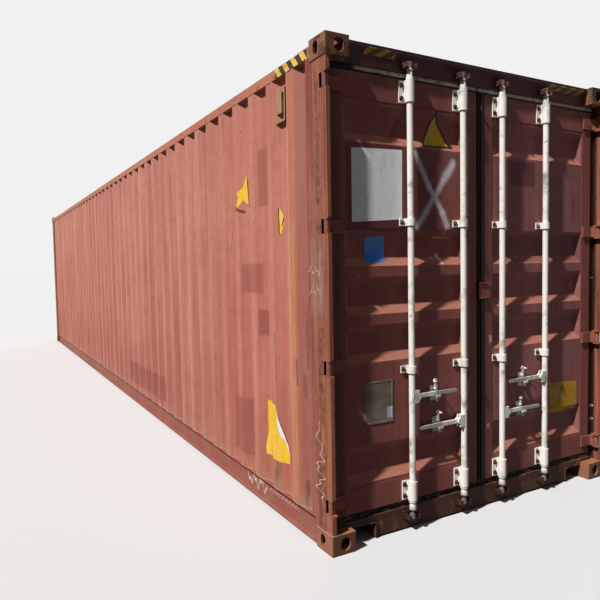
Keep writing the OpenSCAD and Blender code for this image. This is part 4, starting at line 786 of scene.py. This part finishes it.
class CONTAINER_OT_paint(bpy.types.Operator):
    """Gives every CAD part its worn finish"""
    bl_idname = "container.paint"
    bl_label = "Paint the steelwork"

    def execute(self, context):
        look = context.scene.container_finish
        side, faded = look.side_paint, look.side_faded
        end, end_faded = look.end_paint, look.end_faded
        wall = painted("side paint", side, faded, fade=0.55, streaks=2.0, streak_scale=22.0,
                       rust_scale=16.0, rust=0.40, edge=0, dust=0.25, marks=wall_marks(), outer=0)
        wall_far = painted("side paint right", side, faded, fade=0.5, streaks=2.2, streak_scale=22.0,
                           rust_scale=14.0, rust=0.40, edge=0, dust=0.25)
        front = painted("front paint", side, faded, fade=0.45, streaks=1.4, streak_scale=18.0,
                        rust_scale=9.0, rust=0.5, edge=0, dust=0.35)
        deep = "32201a"
        roof = painted("roof paint", side, "b17f71", fade=0.55, streaks=1.2, streak_scale=6.0,
                       rust_scale=8.0, rust=0.36, edge=0, dust=0)
        post = painted("post paint", "6f352c", "a86e58", fade=0.42, streaks=3.2, streak_scale=38.0,
                       rust_scale=30.0, rust=0.5, edge=0.003, dust=0.3, marks=post_marks())
        rail = painted("rail paint", side, "bd8163", fade=0.6, streaks=0.8, streak_scale=16.0,
                       rust_scale=18.0, rust=0.6, edge=0.005, dust=0)
        low_rail = painted("bottom rail paint", "83403a", "a05d53", fade=0.45, streaks=0.8,
                           streak_scale=16.0, rust_scale=14.0, rust=0.6, edge=0.005, dust=0.45,
                           marks=low_rail_marks())
        head = painted("header paint", "43262b", "5d3b40", fade=0.4, streaks=0.7, streak_scale=18.0,
                       rust_scale=20.0, rust=0.5, edge=0.005, dust=0, marks=header_marks())
        # The sill's dark brown is partly its rusty paint, partly painted shade; its left end by the casting goes
        # near-black as painted shade
        sill = painted("sill paint", "3a211c", "5c3b2f", fade=0.4, streaks=0.6, streak_scale=18.0,
                       rust_scale=14.0, rust=0.7, edge=0.005, dust=0.15,
                       marks=[end_patch(-1.2, -0.860, 0.090, 0.300, "120d0c", 0.80, 0.030, -6.2)])
        leaf = painted("door frame paint", end, end_faded, fade=0.35, streaks=1.0, streak_scale=22.0,
                       rust_scale=30.0, rust=0.30, edge=0.004, dust=0.06, marks=hinge_stile_painted_shade(), outer=1)
        meeting = painted("meeting stile paint", end, end_faded, fade=0.35, streaks=1.0, streak_scale=22.0,
                          rust_scale=30.0, rust=0.40, edge=0.004, dust=0.06, marks=meeting_marks(), outer=1)
        leaf_left = painted("left leaf paint", end, end_faded, fade=0.4, streaks=1.0, streak_scale=22.0,
                            rust_scale=34.0, rust=0.22, edge=0.004, dust=0.06, marks=cross_marks(),
                            bleached=look.end_bleached_lit, outer=1)
        leaf_right = painted("right leaf paint", "774848", "a7716f", fade=0.4, streaks=1.0,
                             streak_scale=22.0, rust_scale=34.0, rust=0.22, edge=0.004, dust=0.06,
                             marks=right_leaf_marks(), bleached=look.end_bleached_lit, outer=1)
        hinge = painted("hinge paint", end, "a5685a", fade=0.45, streaks=0.8, streak_scale=30.0,
                        rust_scale=24.0, rust=0.75, edge=0.005, dust=0)
        forged = painted("keeper paint", "2a1917", "4c312d", fade=0.45, streaks=0.8, streak_scale=30.0,
                         rust_scale=40.0, rust=0.75, edge=0.006, dust=0,
                         marks=[(marked_patch, patch((-2, -7, -0.2), (2, 7, 0.6), 0.02), deep, 0.80)])
        under = painted("underside coating", look.underside, "5d463c", fade=0.4, streaks=0.6,
                        streak_scale=12.0, rust_scale=10.0, rust=0.6, edge=0.004, dust=0.4)
        casting = cast_rust("casting rust", "4b3529", "8d6849", "8a5a48", kept=0.3, shade=0.45)
        low_casting = cast_rust("low casting rust", "4b3529", "94683f", "986453", kept=0.46, shade=0.5)
        gear = chalky_zinc("lock gear coat")
        cams = [(marked_patch, patch((-1, -7, z0), (1, -5, z1), 0.02), shade, strength)
                for z0, z1, shade, strength in ((2.795, 2.95, "2a1d1a", 0.85), (-0.1, 0.145, "2a1e19", 0.80))]
        bars = chalky_zinc("lock rod coat", rust=0.4, dark=0.25, marks=cams)
        grip = chalky_zinc("worn gear coat", rust=0.4, dark=0.35)
        handles = {}
        for i, (x, way) in enumerate(zip(RODS, (1, -1, 1, -1)), 1):
            low, high = sorted((x + way * 0.185, x + way * 0.60))
            free = (marked_patch, patch((low, -7, 0), (high, -5, 2), 0.02), look.zinc_dark, 0.85)
            handles[f"rod_handle_{i}"] = chalky_zinc(f"handle coat {i}", rust=0.4, dark=0.3, marks=[free])
        rubber = seal_rubber()
        wood = plywood()
        vent = painted("vent moulding", look.vent, "ae8e77", fade=0.4, streaks=0.8, streak_scale=24.0,
                       rust_scale=20.0, rust=0.3, edge=0.003, dust=0)
        finishes = {
            "casting": casting, "casting_door_bottom": low_casting, "door_post": post, "front_post": post,
            "door_header": head, "door_sill": sill,
            "front_top_rail": rail, "front_bottom_rail": low_rail, "top_rail": rail, "bottom_rail": low_rail,
            "side_wall_left": wall, "side_wall_right": wall_far, "front_wall": front, "roof": roof,
            "crossmembers": under, "tunnel": under, "gooseneck": under, "floor_boards": wood,
            "cam_keepers": forged, "wall_vents": vent, "door_frame": leaf, "door_frame_right": meeting,
            "door_panel_left": leaf_left,
            "door_panel_right": leaf_right, "door_seal": rubber, "door_hinges": hinge, "rod_guides": gear,
            "handle_retainers": grip, "overlap_plate": leaf, "lock_rod": bars, "handle_catch": grip,
            **handles,
        }
        for name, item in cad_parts.items():
            starts = [key for key in finishes if name.startswith(key)]
            if not starts:
                raise RuntimeError(f"no finish for {name}")
            item.data.materials.clear()
            item.data.materials.append(finishes[max(starts, key=len)])
        return {"FINISHED"}


# Sheets and plates


def placed(name, data):
    """A new object of the scene."""
    made = bpy.data.objects.new(name, data)
    bpy.context.scene.collection.objects.link(made)
    return made


def finish_piece(bm, name, material, body):
    """Makes a mesh object of bm, gives it a material and lets it ride on a body."""
    mesh = bpy.data.meshes.new(name)
    bmesh.ops.remove_doubles(bm, verts=bm.verts, dist=0.00002)
    bmesh.ops.recalc_face_normals(bm, faces=bm.faces)
    bm.to_mesh(mesh)
    bm.free()
    mesh.materials.append(material)
    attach(placed(name, mesh), body)


def laid_sheet(bm, outline, place, thick, step=0.02, cuts=()):
    """Adds a thin closed sheet to bm: a flat outline in s and z, cut fine and laid by place(s, z, lift)."""
    sheet = bmesh.new()
    sheet.faces.new([sheet.verts.new((s, 0, z)) for s, z in outline])
    for axis in (0, 2):
        low = min(p[axis // 2] for p in outline)
        high = max(p[axis // 2] for p in outline)
        lines = [low + step * (i + 1) for i in range(int((high - low) / step))]
        lines += [c for a, c in cuts if a == axis // 2]
        for line in lines:
            point = [0, 0, 0]
            point[axis] = line
            normal = [0, 0, 0]
            normal[axis] = 1
            bmesh.ops.bisect_plane(sheet, geom=sheet.verts[:] + sheet.edges[:] + sheet.faces[:],
                                   plane_co=point, plane_no=normal, dist=1e-6)
    bmesh.ops.triangulate(sheet, faces=sheet.faces[:])
    layers = []
    for lift in (0.0, thick):
        layers.append([bm.verts.new(place(v.co.x, v.co.z, lift)) for v in sheet.verts])
    sheet.verts.index_update()
    for face in sheet.faces:
        ids = [v.index for v in face.verts]
        bm.faces.new([layers[1][i] for i in ids])
        bm.faces.new([layers[0][i] for i in reversed(ids)])
    for edge in sheet.edges:
        if len(edge.link_faces) == 1:
            a, c = (v.index for v in edge.verts)
            bm.faces.new([layers[0][a], layers[0][c], layers[1][c], layers[1][a]])
    sheet.free()


def on_leaf(x, z, lift):
    return Vector((x, PANEL_Y + door_depth(z) - 0.0004 - lift, z))


def on_wall(y, z, lift):
    return Vector((-WALL_X + wall_depth(y) - 0.0004 - lift, y, z))


RIB_LINES = [(1, m + s * d) for m in RIBS for s in (-1, 1) for d in (RIB_HEIGHT / 2,
                                                                     RIB_HEIGHT / 2 - RIB_SLOPE)]
WAVE_LINES = [(0, WAVE_FIRST + WAVE_PITCH * i + d) for i in range(-1, 6)
              for d in (-WAVE_SLOPE, 0, WAVE_FLAT, WAVE_FLAT + WAVE_SLOPE)]


def rounded(points, radius, steps=4):
    """Outline with its corners cut round."""
    made = []
    for i, point in enumerate(points):
        here = Vector(point)
        before, after = Vector(points[i - 1]), Vector(points[(i + 1) % len(points)])
        a = here + (before - here).normalized() * radius
        c = here + (after - here).normalized() * radius
        for k in range(steps + 1):
            t = k / steps
            made.append(tuple(a * (1 - t) ** 2 + here * 2 * t * (1 - t) + c * t ** 2))
    return made


def torn(start, end, steps, depth, seed):
    """Points of a torn edge between two corners."""
    made = []
    for i in range(steps + 1):
        t = i / steps
        swing = noise.noise(Vector((t * 9.0, seed, 0.5))) * depth if 0 < i < steps else 0
        made.append((start[0] + (end[0] - start[0]) * t, start[1] + (end[1] - start[1]) * t + swing))
    return made


class CONTAINER_OT_door_sheets(bpy.types.Operator):
    """Plain white sheet, labels and bare plates on the door leaves"""
    bl_idname = "container.door_sheets"
    bl_label = "Add the door sheets"

    def execute(self, context):
        look = context.scene.container_finish
        thick = context.scene.container_fittings.vinyl
        corners = [(-0.362, 2.586), (-0.216, 2.370), (-0.466, 2.362), (-0.362, 2.586)]
        dark_edges = [leaf_stroke(*a, *c, width, "0c0908", 0.98, 0.3, 0.006, 0.95)
                      for a, c, width in zip(corners, corners[1:], (0.022, 0.014, 0.017))]
        sheets = [
            ("door_sheet_white", rounded([(-1.003, 2.311), (-0.635, 2.324), (-0.639, 1.911),
                                          (-1.004, 1.887)], 0.006),
             vinyl("white sheet", look.white, dirt=0.25, gloss=0.4), "door_left"),
            ("door_label_blue", rounded([(-0.892, 1.805), (-0.752, 1.811), (-0.755, 1.656),
                                         (-0.897, 1.651)], 0.016),
             vinyl("blue label", look.blue, dirt=0.25, gloss=0.4, chips="b9c4cc", scale=60.0), "door_left"),
            ("door_label_triangle", rounded([(-0.362, 2.588), (-0.214, 2.366), (-0.470, 2.358)], 0.010),
             vinyl("aged yellow vinyl", look.sign, dirt=0.8, gloss=0.5, chips="3c2f22", scale=30.0,
                   marks=dark_edges), "door_left"),
            ("door_label_yellow", [(0.700, 0.764), (1.012, 0.744)] + torn((1.020, 0.512), (0.712, 0.535),
                                                                          14, 0.05, 3.1),
             vinyl("torn yellow vinyl", "bb8808", dirt=0.85, gloss=0.5, chips="5a2f26", scale=26.0),
             "door_right"),
        ]
        for name, outline, material, body in sheets:
            bm = bmesh.new()
            laid_sheet(bm, outline, on_leaf, thick, 0.02, RIB_LINES)
            finish_piece(bm, name, material, body)
        self.plate(context)
        return {"FINISHED"}

    def plate(self, context):
        """Bare metal plate with a raised rim."""
        look = context.scene.container_finish
        x0, x1, z0, z1 = -0.932, -0.722, 0.691, 0.947
        rim, deep, back = 0.010, 0.0015, 0.0030
        bm = bmesh.new()
        y = PANEL_Y
        rings = [(0, 0.0), (0, back), (rim, back), (rim + 0.001, back - deep)]
        loops = []
        for inset, lift in rings:
            corners = [(x0 + inset, z0 + inset), (x1 - inset, z0 + inset), (x1 - inset, z1 - inset),
                       (x0 + inset, z1 - inset)]
            loops.append([bm.verts.new((x, y - lift, z)) for x, z in corners])
        for a, c in zip(loops, loops[1:]):
            for i in range(4):
                bm.faces.new([a[i], a[(i + 1) % 4], c[(i + 1) % 4], c[i]])
        bm.faces.new(loops[-1])
        bm.faces.new(loops[0])
        sticker = [(marked_patch, patch((-0.766, -7, 0.717), (-0.728, -5, 0.784), 0.004), "c3c9d2", 0.9)]
        bare = vinyl("bare plate", look.plate, dirt=0.7, gloss=0.55, chips="b9b3a0", scale=14.0,
                     marks=sticker)
        finish_piece(bm, "door_plate_bare", bare, "door_left")


class CONTAINER_OT_side_sheets(bpy.types.Operator):
    """Plain yellow vinyl shapes on the left wall, partly peeled"""
    bl_idname = "container.side_sheets"
    bl_label = "Add the side sheets"

    def execute(self, context):
        look = context.scene.container_finish
        thick = context.scene.container_fittings.vinyl
        pale, dark, shaded = "dedce2", "1d1512", "2a1a16"

        def yellow(name, marks=()):
            return vinyl(name, look.yellow, dirt=0.55, gloss=0.4, chips="6b4a20", scale=30.0, marks=marks)

        def edge(b0, z0, b1, z1, width, shade):
            return wall_stroke(b0, z0, b1, z1, width, shade, 0.97, 0.3, 0.004, 0.9)

        def sheet(name, material, lay, outline):
            """A sheet with its corners given by run from the door end and height."""
            bm = bmesh.new()
            laid_sheet(bm, [(END_Y + run, z) for run, z in outline], lay, thick, 0.02, WAVE_LINES)
            finish_piece(bm, name, material, "root")

        def lifted(y, z, lift):
            base = on_wall(y, z, lift)
            away = max(0.0, (y - END_Y - 1.11) / 0.15)
            flat = -WALL_X + 0.030 - 0.034 * away - lift
            return Vector((min(base.x, max(flat, -WALL_X - 0.003)), y, z))

        # The pale edges are the bare back of the folded corner; the dark edges are painted shadow under the curl
        fold = [edge(0.664, 0.690, 0.650, 0.630, 0.010, pale), edge(0.652, 0.628, 0.618, 0.545, 0.024, pale),
                edge(0.612, 0.545, 0.575, 0.452, 0.010, pale), edge(0.677, 0.724, 0.640, 0.625, 0.005, dark),
                edge(0.640, 0.625, 0.566, 0.450, 0.006, dark)]
        rim = [edge(0.622, 2.012, 0.620, 1.846, 0.006, shaded),
               edge(0.586, 1.945, 0.600, 1.900, 0.004, shaded)]
        sheet("side_sheet_low", yellow("folded yellow vinyl", fold), on_wall,
              [(0.868, 0.732), (0.703, 0.734), (0.677, 0.722), (0.640, 0.625), (0.566, 0.450), (0.565, 0.362),
               (0.700, 0.366), (0.885, 0.350), (0.888, 0.404), (0.868, 0.505)])
        sheet("side_sheet_small", yellow("dark edged vinyl", rim), on_wall,
              [(0.624, 2.012), (0.604, 1.995), (0.588, 1.960), (0.586, 1.925), (0.602, 1.850),
               (0.622, 1.846)])
        sheet("side_sheet_peeled", yellow("yellow vinyl"), lifted,
              [(1.124, 2.290), (1.104, 2.075), (1.170, 2.120), (1.225, 2.070), (1.255, 2.090), (1.222, 2.150),
               (1.240, 2.172), (1.165, 2.212)])
        return {"FINISHED"}


class CONTAINER_OT_edge_markers(bpy.types.Operator):
    """Black and yellow bars on the header and the ends of the top rails"""
    bl_idname = "container.edge_markers"
    bl_label = "Add the edge markers"

    def execute(self, context):
        look = context.scene.container_finish
        bars = edge_bars("header marker bars", "d09c1e", 0.5)
        pale = edge_bars("rail marker bars", look.yellow_pale, 0.25)
        thick = 0.0006
        nose_y, nose_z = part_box("door_header")[0].y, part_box("door_header")[1].z

        def on_header(x, t, lift):
            # t runs down over the nose and then along the slope under it
            if t < 0.020:
                return Vector((x, nose_y - 0.0003 - lift, nose_z - t))
            d = (t - 0.020) * math.sqrt(0.5)
            return Vector((x, nose_y + d - 0.0003 - lift * 0.7, nose_z - 0.020 - d - lift * 0.7))

        for side, x0, x1 in (("left", -0.920, -0.700), ("right", 0.617, 1.009)):
            bm = bmesh.new()
            laid_sheet(bm, [(x0, 0.016), (x1, 0.016), (x1, 0.062), (x0, 0.062)], on_header, thick, 0.02,
                       [(1, 0.020)])
            finish_piece(bm, f"header_bars_{side}", bars, "root")
        for side, sign in (("left", -1), ("right", 1)):
            for end, y0, y1 in (("door", END_Y + 0.200, END_Y + 0.596),
                                ("front", FRONT_Y - 0.596, FRONT_Y - 0.200)):
                bm = bmesh.new()

                def on_rail(y, z, lift):
                    return Vector((sign * (WALL_X + 0.0003 + lift), y, z))

                outline = [(y0, RAIL_LOW + 0.002), (y1, RAIL_LOW + 0.002), (y1, RAIL_HIGH - 0.002),
                           (y0, RAIL_HIGH - 0.002)]
                laid_sheet(bm, outline, on_rail, thick, 0.05)
                finish_piece(bm, f"rail_bars_{side}_{end}", pale, "root")
        return {"FINISHED"}


# Repeats made with Geometry Nodes


def geometry_tree(name, inputs):
    """A geometry node tree with a Geometry input and output and named inputs (name, kind, value)."""
    tree = bpy.data.node_groups.new(name, "GeometryNodeTree")
    tree.interface.new_socket(name="Geometry", in_out="INPUT", socket_type="NodeSocketGeometry")
    ids = {}
    for label, kind, value in inputs:
        socket = tree.interface.new_socket(name=label, in_out="INPUT", socket_type="NodeSocket" + kind)
        if value is not None:
            socket.default_value = value
        ids[label] = socket.identifier
    tree.interface.new_socket(name="Geometry", in_out="OUTPUT", socket_type="NodeSocketGeometry")
    board = Board(tree)
    return tree, board, tree.nodes.new("NodeGroupInput").outputs, tree.nodes.new("NodeGroupOutput").inputs[0], ids


def grown(name, verts, edges, tree, ids, values, body):
    """Runs a geometry node tree on points and edges and keeps the result as a plain mesh."""
    mesh = bpy.data.meshes.new(name + " path")
    mesh.from_pydata([tuple(v) for v in verts], edges, [])
    seed = placed(name + "_path", mesh)
    modifier = seed.modifiers.new("grow", "NODES")
    modifier.node_group = tree
    for label, value in values.items():
        modifier[ids[label]] = value
    graph = bpy.context.evaluated_depsgraph_get()
    result = bpy.data.meshes.new_from_object(seed.evaluated_get(graph), depsgraph=graph)
    if not result.polygons:
        raise RuntimeError(f"{name} came out empty")
    seed.modifiers.remove(modifier)
    bpy.data.objects.remove(seed)
    bpy.data.meshes.remove(mesh)
    result.name = name
    made = placed(name, result)
    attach(made, body)


def bolt_tree(material):
    """Hexagon heads on washers at every point, facing the door end."""
    tree, b, given, result, ids = geometry_tree("bolt heads", [
        ("Head width", "Float", 0.02), ("Head height", "Float", 0.01), ("Seed", "Int", 1)])
    radius = b.math("DIVIDE", given["Head width"], 1.732)
    head = b.node("GeometryNodeMeshCylinder",
                  {"Vertices": 6, "Radius": radius, "Depth": given["Head height"]})
    lift = b.node("ShaderNodeCombineXYZ", {2: b.times(given["Head height"], 0.5)})
    head = b.node("GeometryNodeTransform", {"Geometry": head, "Translation": lift})
    washer = b.node("GeometryNodeMeshCylinder", {
        "Vertices": 16, "Radius": b.times(radius, 1.22), "Depth": b.times(given["Head height"], 0.3)})
    both = tree.nodes.new("GeometryNodeJoinGeometry")
    for part in (head, washer):
        tree.links.new(part, both.inputs[0])
    facing = b.node("GeometryNodeTransform", {"Geometry": both.outputs[0], "Rotation": (math.pi / 2, 0, 0)})
    turn = b.node("FunctionNodeRandomValue", {"Seed": given["Seed"]}, out=1, data_type="FLOAT")
    turn = b.node("ShaderNodeCombineXYZ", {1: b.times(turn, math.pi)})
    points = b.node("GeometryNodeMeshToPoints", {"Mesh": given["Geometry"]})
    heads = b.node("GeometryNodeInstanceOnPoints", {
        "Points": points, "Instance": facing, "Rotation": b.node("FunctionNodeEulerToRotation", {0: turn})})
    real = b.node("GeometryNodeRealizeInstances", {"Geometry": heads})
    b.join(b.node("GeometryNodeSetMaterial", {"Geometry": real, "Material": material}), result)
    return tree, ids


def rivet_tree(material):
    """Low round heads at every point, facing the door end."""
    tree, b, given, result, ids = geometry_tree("rivet heads", [("Width", "Float", 0.009)])
    ball = b.node("GeometryNodeMeshUVSphere",
                  {"Segments": 12, "Rings": 6, "Radius": b.times(given["Width"], 0.5)})
    flat = b.node("GeometryNodeTransform", {"Geometry": ball, "Scale": (1, 0.45, 1)})
    points = b.node("GeometryNodeMeshToPoints", {"Mesh": given["Geometry"]})
    heads = b.node("GeometryNodeInstanceOnPoints", {"Points": points, "Instance": flat})
    real = b.node("GeometryNodeRealizeInstances", {"Geometry": heads})
    real = b.node("GeometryNodeSetShadeSmooth", {0: real})
    b.join(b.node("GeometryNodeSetMaterial", {"Geometry": real, "Material": material}), result)
    return tree, ids


def weld_tree(material):
    """Rippled beads along every edge path."""
    tree, b, given, result, ids = geometry_tree("weld beads", [
        ("Radius", "Float", 0.004), ("Step", "Float", 0.006), ("Ripple", "Float", 0.0016)])
    path = b.node("GeometryNodeMeshToCurve", {"Mesh": given["Geometry"]})
    even = tree.nodes.new("GeometryNodeResampleCurve")
    even.mode = "LENGTH"
    b.join(path, even.inputs["Curve"])
    b.join(given["Step"], even.inputs["Length"])
    ring = b.node("GeometryNodeCurvePrimitiveCircle", {"Resolution": 6, "Radius": given["Radius"]})
    bead = b.node("GeometryNodeCurveToMesh",
                  {"Curve": even.outputs[0], "Profile Curve": ring, "Fill Caps": True})
    rough = b.node("ShaderNodeTexNoise", {"Scale": 150.0, "Detail": 1.0}, out=1)
    offset = b.vector("SUBTRACT", rough, (0.5, 0.5, 0.5))
    offset = b.node("ShaderNodeVectorMath", {0: offset, "Scale": given["Ripple"]}, operation="SCALE")
    bead = b.node("GeometryNodeSetPosition", {"Geometry": bead, "Offset": offset})
    bead = b.node("GeometryNodeSetShadeSmooth", {0: bead})
    bead = b.node("GeometryNodeRealizeInstances", {"Geometry": bead})
    b.join(b.node("GeometryNodeSetMaterial", {"Geometry": bead, "Material": material}), result)
    return tree, ids


class CONTAINER_OT_fixings(bpy.types.Operator):
    """Rusty bolt heads on the rod guides and rivets on the bare plate"""
    bl_idname = "container.fixings"
    bl_label = "Add the bolts and rivets"

    def execute(self, context):
        look = context.scene.container_finish
        sizes = context.scene.container_fittings
        tree, ids = bolt_tree(cast_rust("bolt rust", "2e1e18", "5e3a28", look.zinc_dark, kept=0.05))
        for body, rods in (("door_left", RODS[:2]), ("door_right", RODS[2:])):
            points = []
            for x in rods:
                for z in GUIDE_BOLTS:
                    base = PANEL_Y if 0.5 < z < 2.4 else STILE_Y
                    points.append((x - 0.040, base - 0.008, z))
            values = {"Head width": sizes.bolt_width, "Head height": sizes.bolt_height, "Seed": sizes.seed}
            grown("guide_bolts_" + body[5:], points, [], tree, ids, values, body)
        tree, ids = rivet_tree(cast_rust("rivet metal", "4c463c", "8b8474", look.plate, kept=0.3))
        points = [(x, PANEL_Y - 0.003, z) for x in (-0.927, -0.727) for z in (0.696, 0.819, 0.942)]
        grown("plate_rivets", points, [], tree, ids, {"Width": sizes.rivet_width}, "door_left")
        return {"FINISHED"}


class CONTAINER_OT_welds(bpy.types.Operator):
    """Weld beads around the castings and along the feet of the walls"""
    bl_idname = "container.welds"
    bl_label = "Add the weld beads"

    def execute(self, context):
        look = context.scene.container_finish
        sizes = context.scene.container_fittings
        tree, ids = weld_tree(painted("weld paint", "8a5a4e", "ae8f7d", fade=0.5, streaks=0.3,
                                      streak_scale=30.0, rust_scale=30.0, rust=0.6, edge=0, dust=0.3))
        paths = []
        for sx in (-1, 1):
            for top in (0, 1):
                z = TOP_Z - CASTING_HIGH if top else CASTING_HIGH
                # Door posts and front posts stand on the castings
                for sy in (-1, 1):
                    y = END_Y if sy < 0 else FRONT_Y
                    lip = 0.028 if sy < 0 else 0.150
                    paths.append([(sx * WALL_X, y - sy * CASTING_LONG, z), (sx * WALL_X, y - sy * 0.005, z),
                                  (sx * (WALL_X - lip), y - sy * 0.005, z)])
            # Feet of the side walls follow the wave
            foot = []
            run = FRONT_Y - END_Y - 2 * WALL_START
            steps = int(round(run / FOOT_STEP))
            for i in range(steps + 1):
                y = END_Y + WALL_START + run * i / steps
                foot.append((sx * (WALL_X - wall_depth(y)), y, WALL_LOW))
            paths.append(foot)
            paths.append([(x, y, WALL_HIGH) for x, y, _ in foot])
        verts, edges = [], []
        for path in paths:
            start = len(verts)
            verts += path
            edges += [(start + i, start + i + 1) for i in range(len(path) - 1)]
        values = {"Radius": sizes.weld_radius, "Step": 0.012}
        grown("weld_beads", verts, edges, tree, ids, values, "root")
        return {"FINISHED"}


# Stage

# Directions of the lamps, and the camera's place in metres and its yaw, pitch and roll in degrees
KEY_FROM, BACK_FROM = (-0.625, -0.150, 0.766), (0.62, 0.70, 0.35)
CAMERA_PLACE, CAMERA_TURN = (-2.9154, -8.8052, 1.633), (29.223, -3.196, -1.067)


class CONTAINER_OT_stage(bpy.types.Operator):
    """Plain pale floor, soft light and the camera"""
    bl_idname = "container.stage"
    bl_label = "Set the stage"

    def execute(self, context):
        stage = context.scene.container_stage
        self.floor(stage)
        self.light(context, stage)
        self.camera(context, stage)
        return {"FINISHED"}

    def floor(self, stage):
        made, b, sockets = new_material("stage floor", 0.0)
        seen = self.seen(b)
        b.join(b.mix(seen, (0.068, 0.066, 0.065), stage.floor), sockets["Base Color"])
        sockets["Roughness"].default_value = 0.9
        mesh = bpy.data.meshes.new("stage floor")
        size = 400.0
        corners = [(-size, -size), (size, -size), (size, size), (-size, size)]
        mesh.from_pydata([(x, y, -0.0005) for x, y in corners], [], [(0, 1, 2, 3)])
        mesh.materials.append(made)
        placed("stage_floor", mesh)

    def seen(self, b):
        path = b.tree.nodes.new("ShaderNodeLightPath").outputs
        glossy = b.math("MAXIMUM", path["Is Camera Ray"], path["Is Glossy Ray"])
        return b.math("MAXIMUM", glossy, path["Is Transmission Ray"])

    def light(self, context, stage):
        world = bpy.data.worlds.new("soft studio")
        context.scene.world = world
        world.use_nodes = True
        world.node_tree.nodes.clear()
        b = Board(world.node_tree)
        strength = b.ramp(self.seen(b), 0, 1, stage.fill, 0.88)
        back = b.node("ShaderNodeBackground", {"Color": (1.0, 1.0, 1.0), "Strength": strength})
        output = world.node_tree.nodes.new("ShaderNodeOutputWorld")
        world.node_tree.links.new(back, output.inputs["Surface"])
        self.lamp("key_light", stage.sun, 2, KEY_FROM, (1.0, 0.97, 0.93))
        self.lamp("back_light", stage.back, 60, BACK_FROM, (1.0, 1.0, 1.0))

    def lamp(self, name, strength, spread, towards, shade):
        """A far lamp in the given direction, as wide as spread in degrees."""
        data = bpy.data.lights.new(name, "SUN")
        data.energy = strength
        data.angle = math.radians(spread)
        data.color = shade
        placed(name, data).rotation_euler = Vector(towards).to_track_quat("Z", "Y").to_euler()

    def camera(self, context, stage):
        data = bpy.data.cameras.new("photo camera")
        data.lens = stage.lens
        data.sensor_width = 36
        data.clip_end = 2000
        camera = placed("photo_camera", data)
        yaw, pitch, roll = (math.radians(a) for a in CAMERA_TURN)
        ahead = Vector((math.sin(yaw) * math.cos(pitch), math.cos(yaw) * math.cos(pitch), math.sin(pitch)))
        right = Vector((math.cos(yaw), -math.sin(yaw), 0))
        up = right.cross(ahead)
        across = math.cos(roll) * right + math.sin(roll) * up
        above = -math.sin(roll) * right + math.cos(roll) * up
        turn = Matrix((across, above, -ahead)).transposed()
        camera.matrix_world = Matrix.Translation(CAMERA_PLACE) @ turn.to_4x4()
        context.scene.camera = camera
        context.scene.view_settings.view_transform = "Standard"


class CONTAINER_PT_panel(bpy.types.Panel):
    """Lists the operators and the settings"""
    bl_idname = "CONTAINER_PT_panel"
    bl_label = "Shipping container"
    bl_space_type = "VIEW_3D"
    bl_region_type = "UI"
    bl_category = "Container"

    def draw(self, context):
        for operator in OPERATORS:
            self.layout.operator(operator.bl_idname)
        for group in (context.scene.container_finish, context.scene.container_fittings,
                      context.scene.container_stage):
            column = self.layout.column()
            for name in group.bl_rna.properties.keys():
                if name not in ("rna_type", "name"):
                    column.prop(group, name)


OPERATORS = [
    CONTAINER_OT_stage,
    CONTAINER_OT_paint,
    CONTAINER_OT_door_sheets,
    CONTAINER_OT_side_sheets,
    CONTAINER_OT_edge_markers,
    CONTAINER_OT_fixings,
    CONTAINER_OT_welds,
]
CLASSES = [ContainerFinish, ContainerFittings, ContainerStage, *OPERATORS, CONTAINER_PT_panel]
SETTINGS = {
    "container_finish": ContainerFinish,
    "container_fittings": ContainerFittings,
    "container_stage": ContainerStage,
}


def register():
    for item in CLASSES:
        bpy.utils.register_class(item)
    for name, group in SETTINGS.items():
        setattr(bpy.types.Scene, name, PointerProperty(type=group))


def unregister():
    for name in SETTINGS:
        delattr(bpy.types.Scene, name)
    for item in reversed(CLASSES):
        bpy.utils.unregister_class(item)


def main():
    register()
    for operator in OPERATORS:
        group, name = operator.bl_idname.split(".")
        getattr(getattr(bpy.ops, group), name)()


if __name__ == "__main__":
    main()
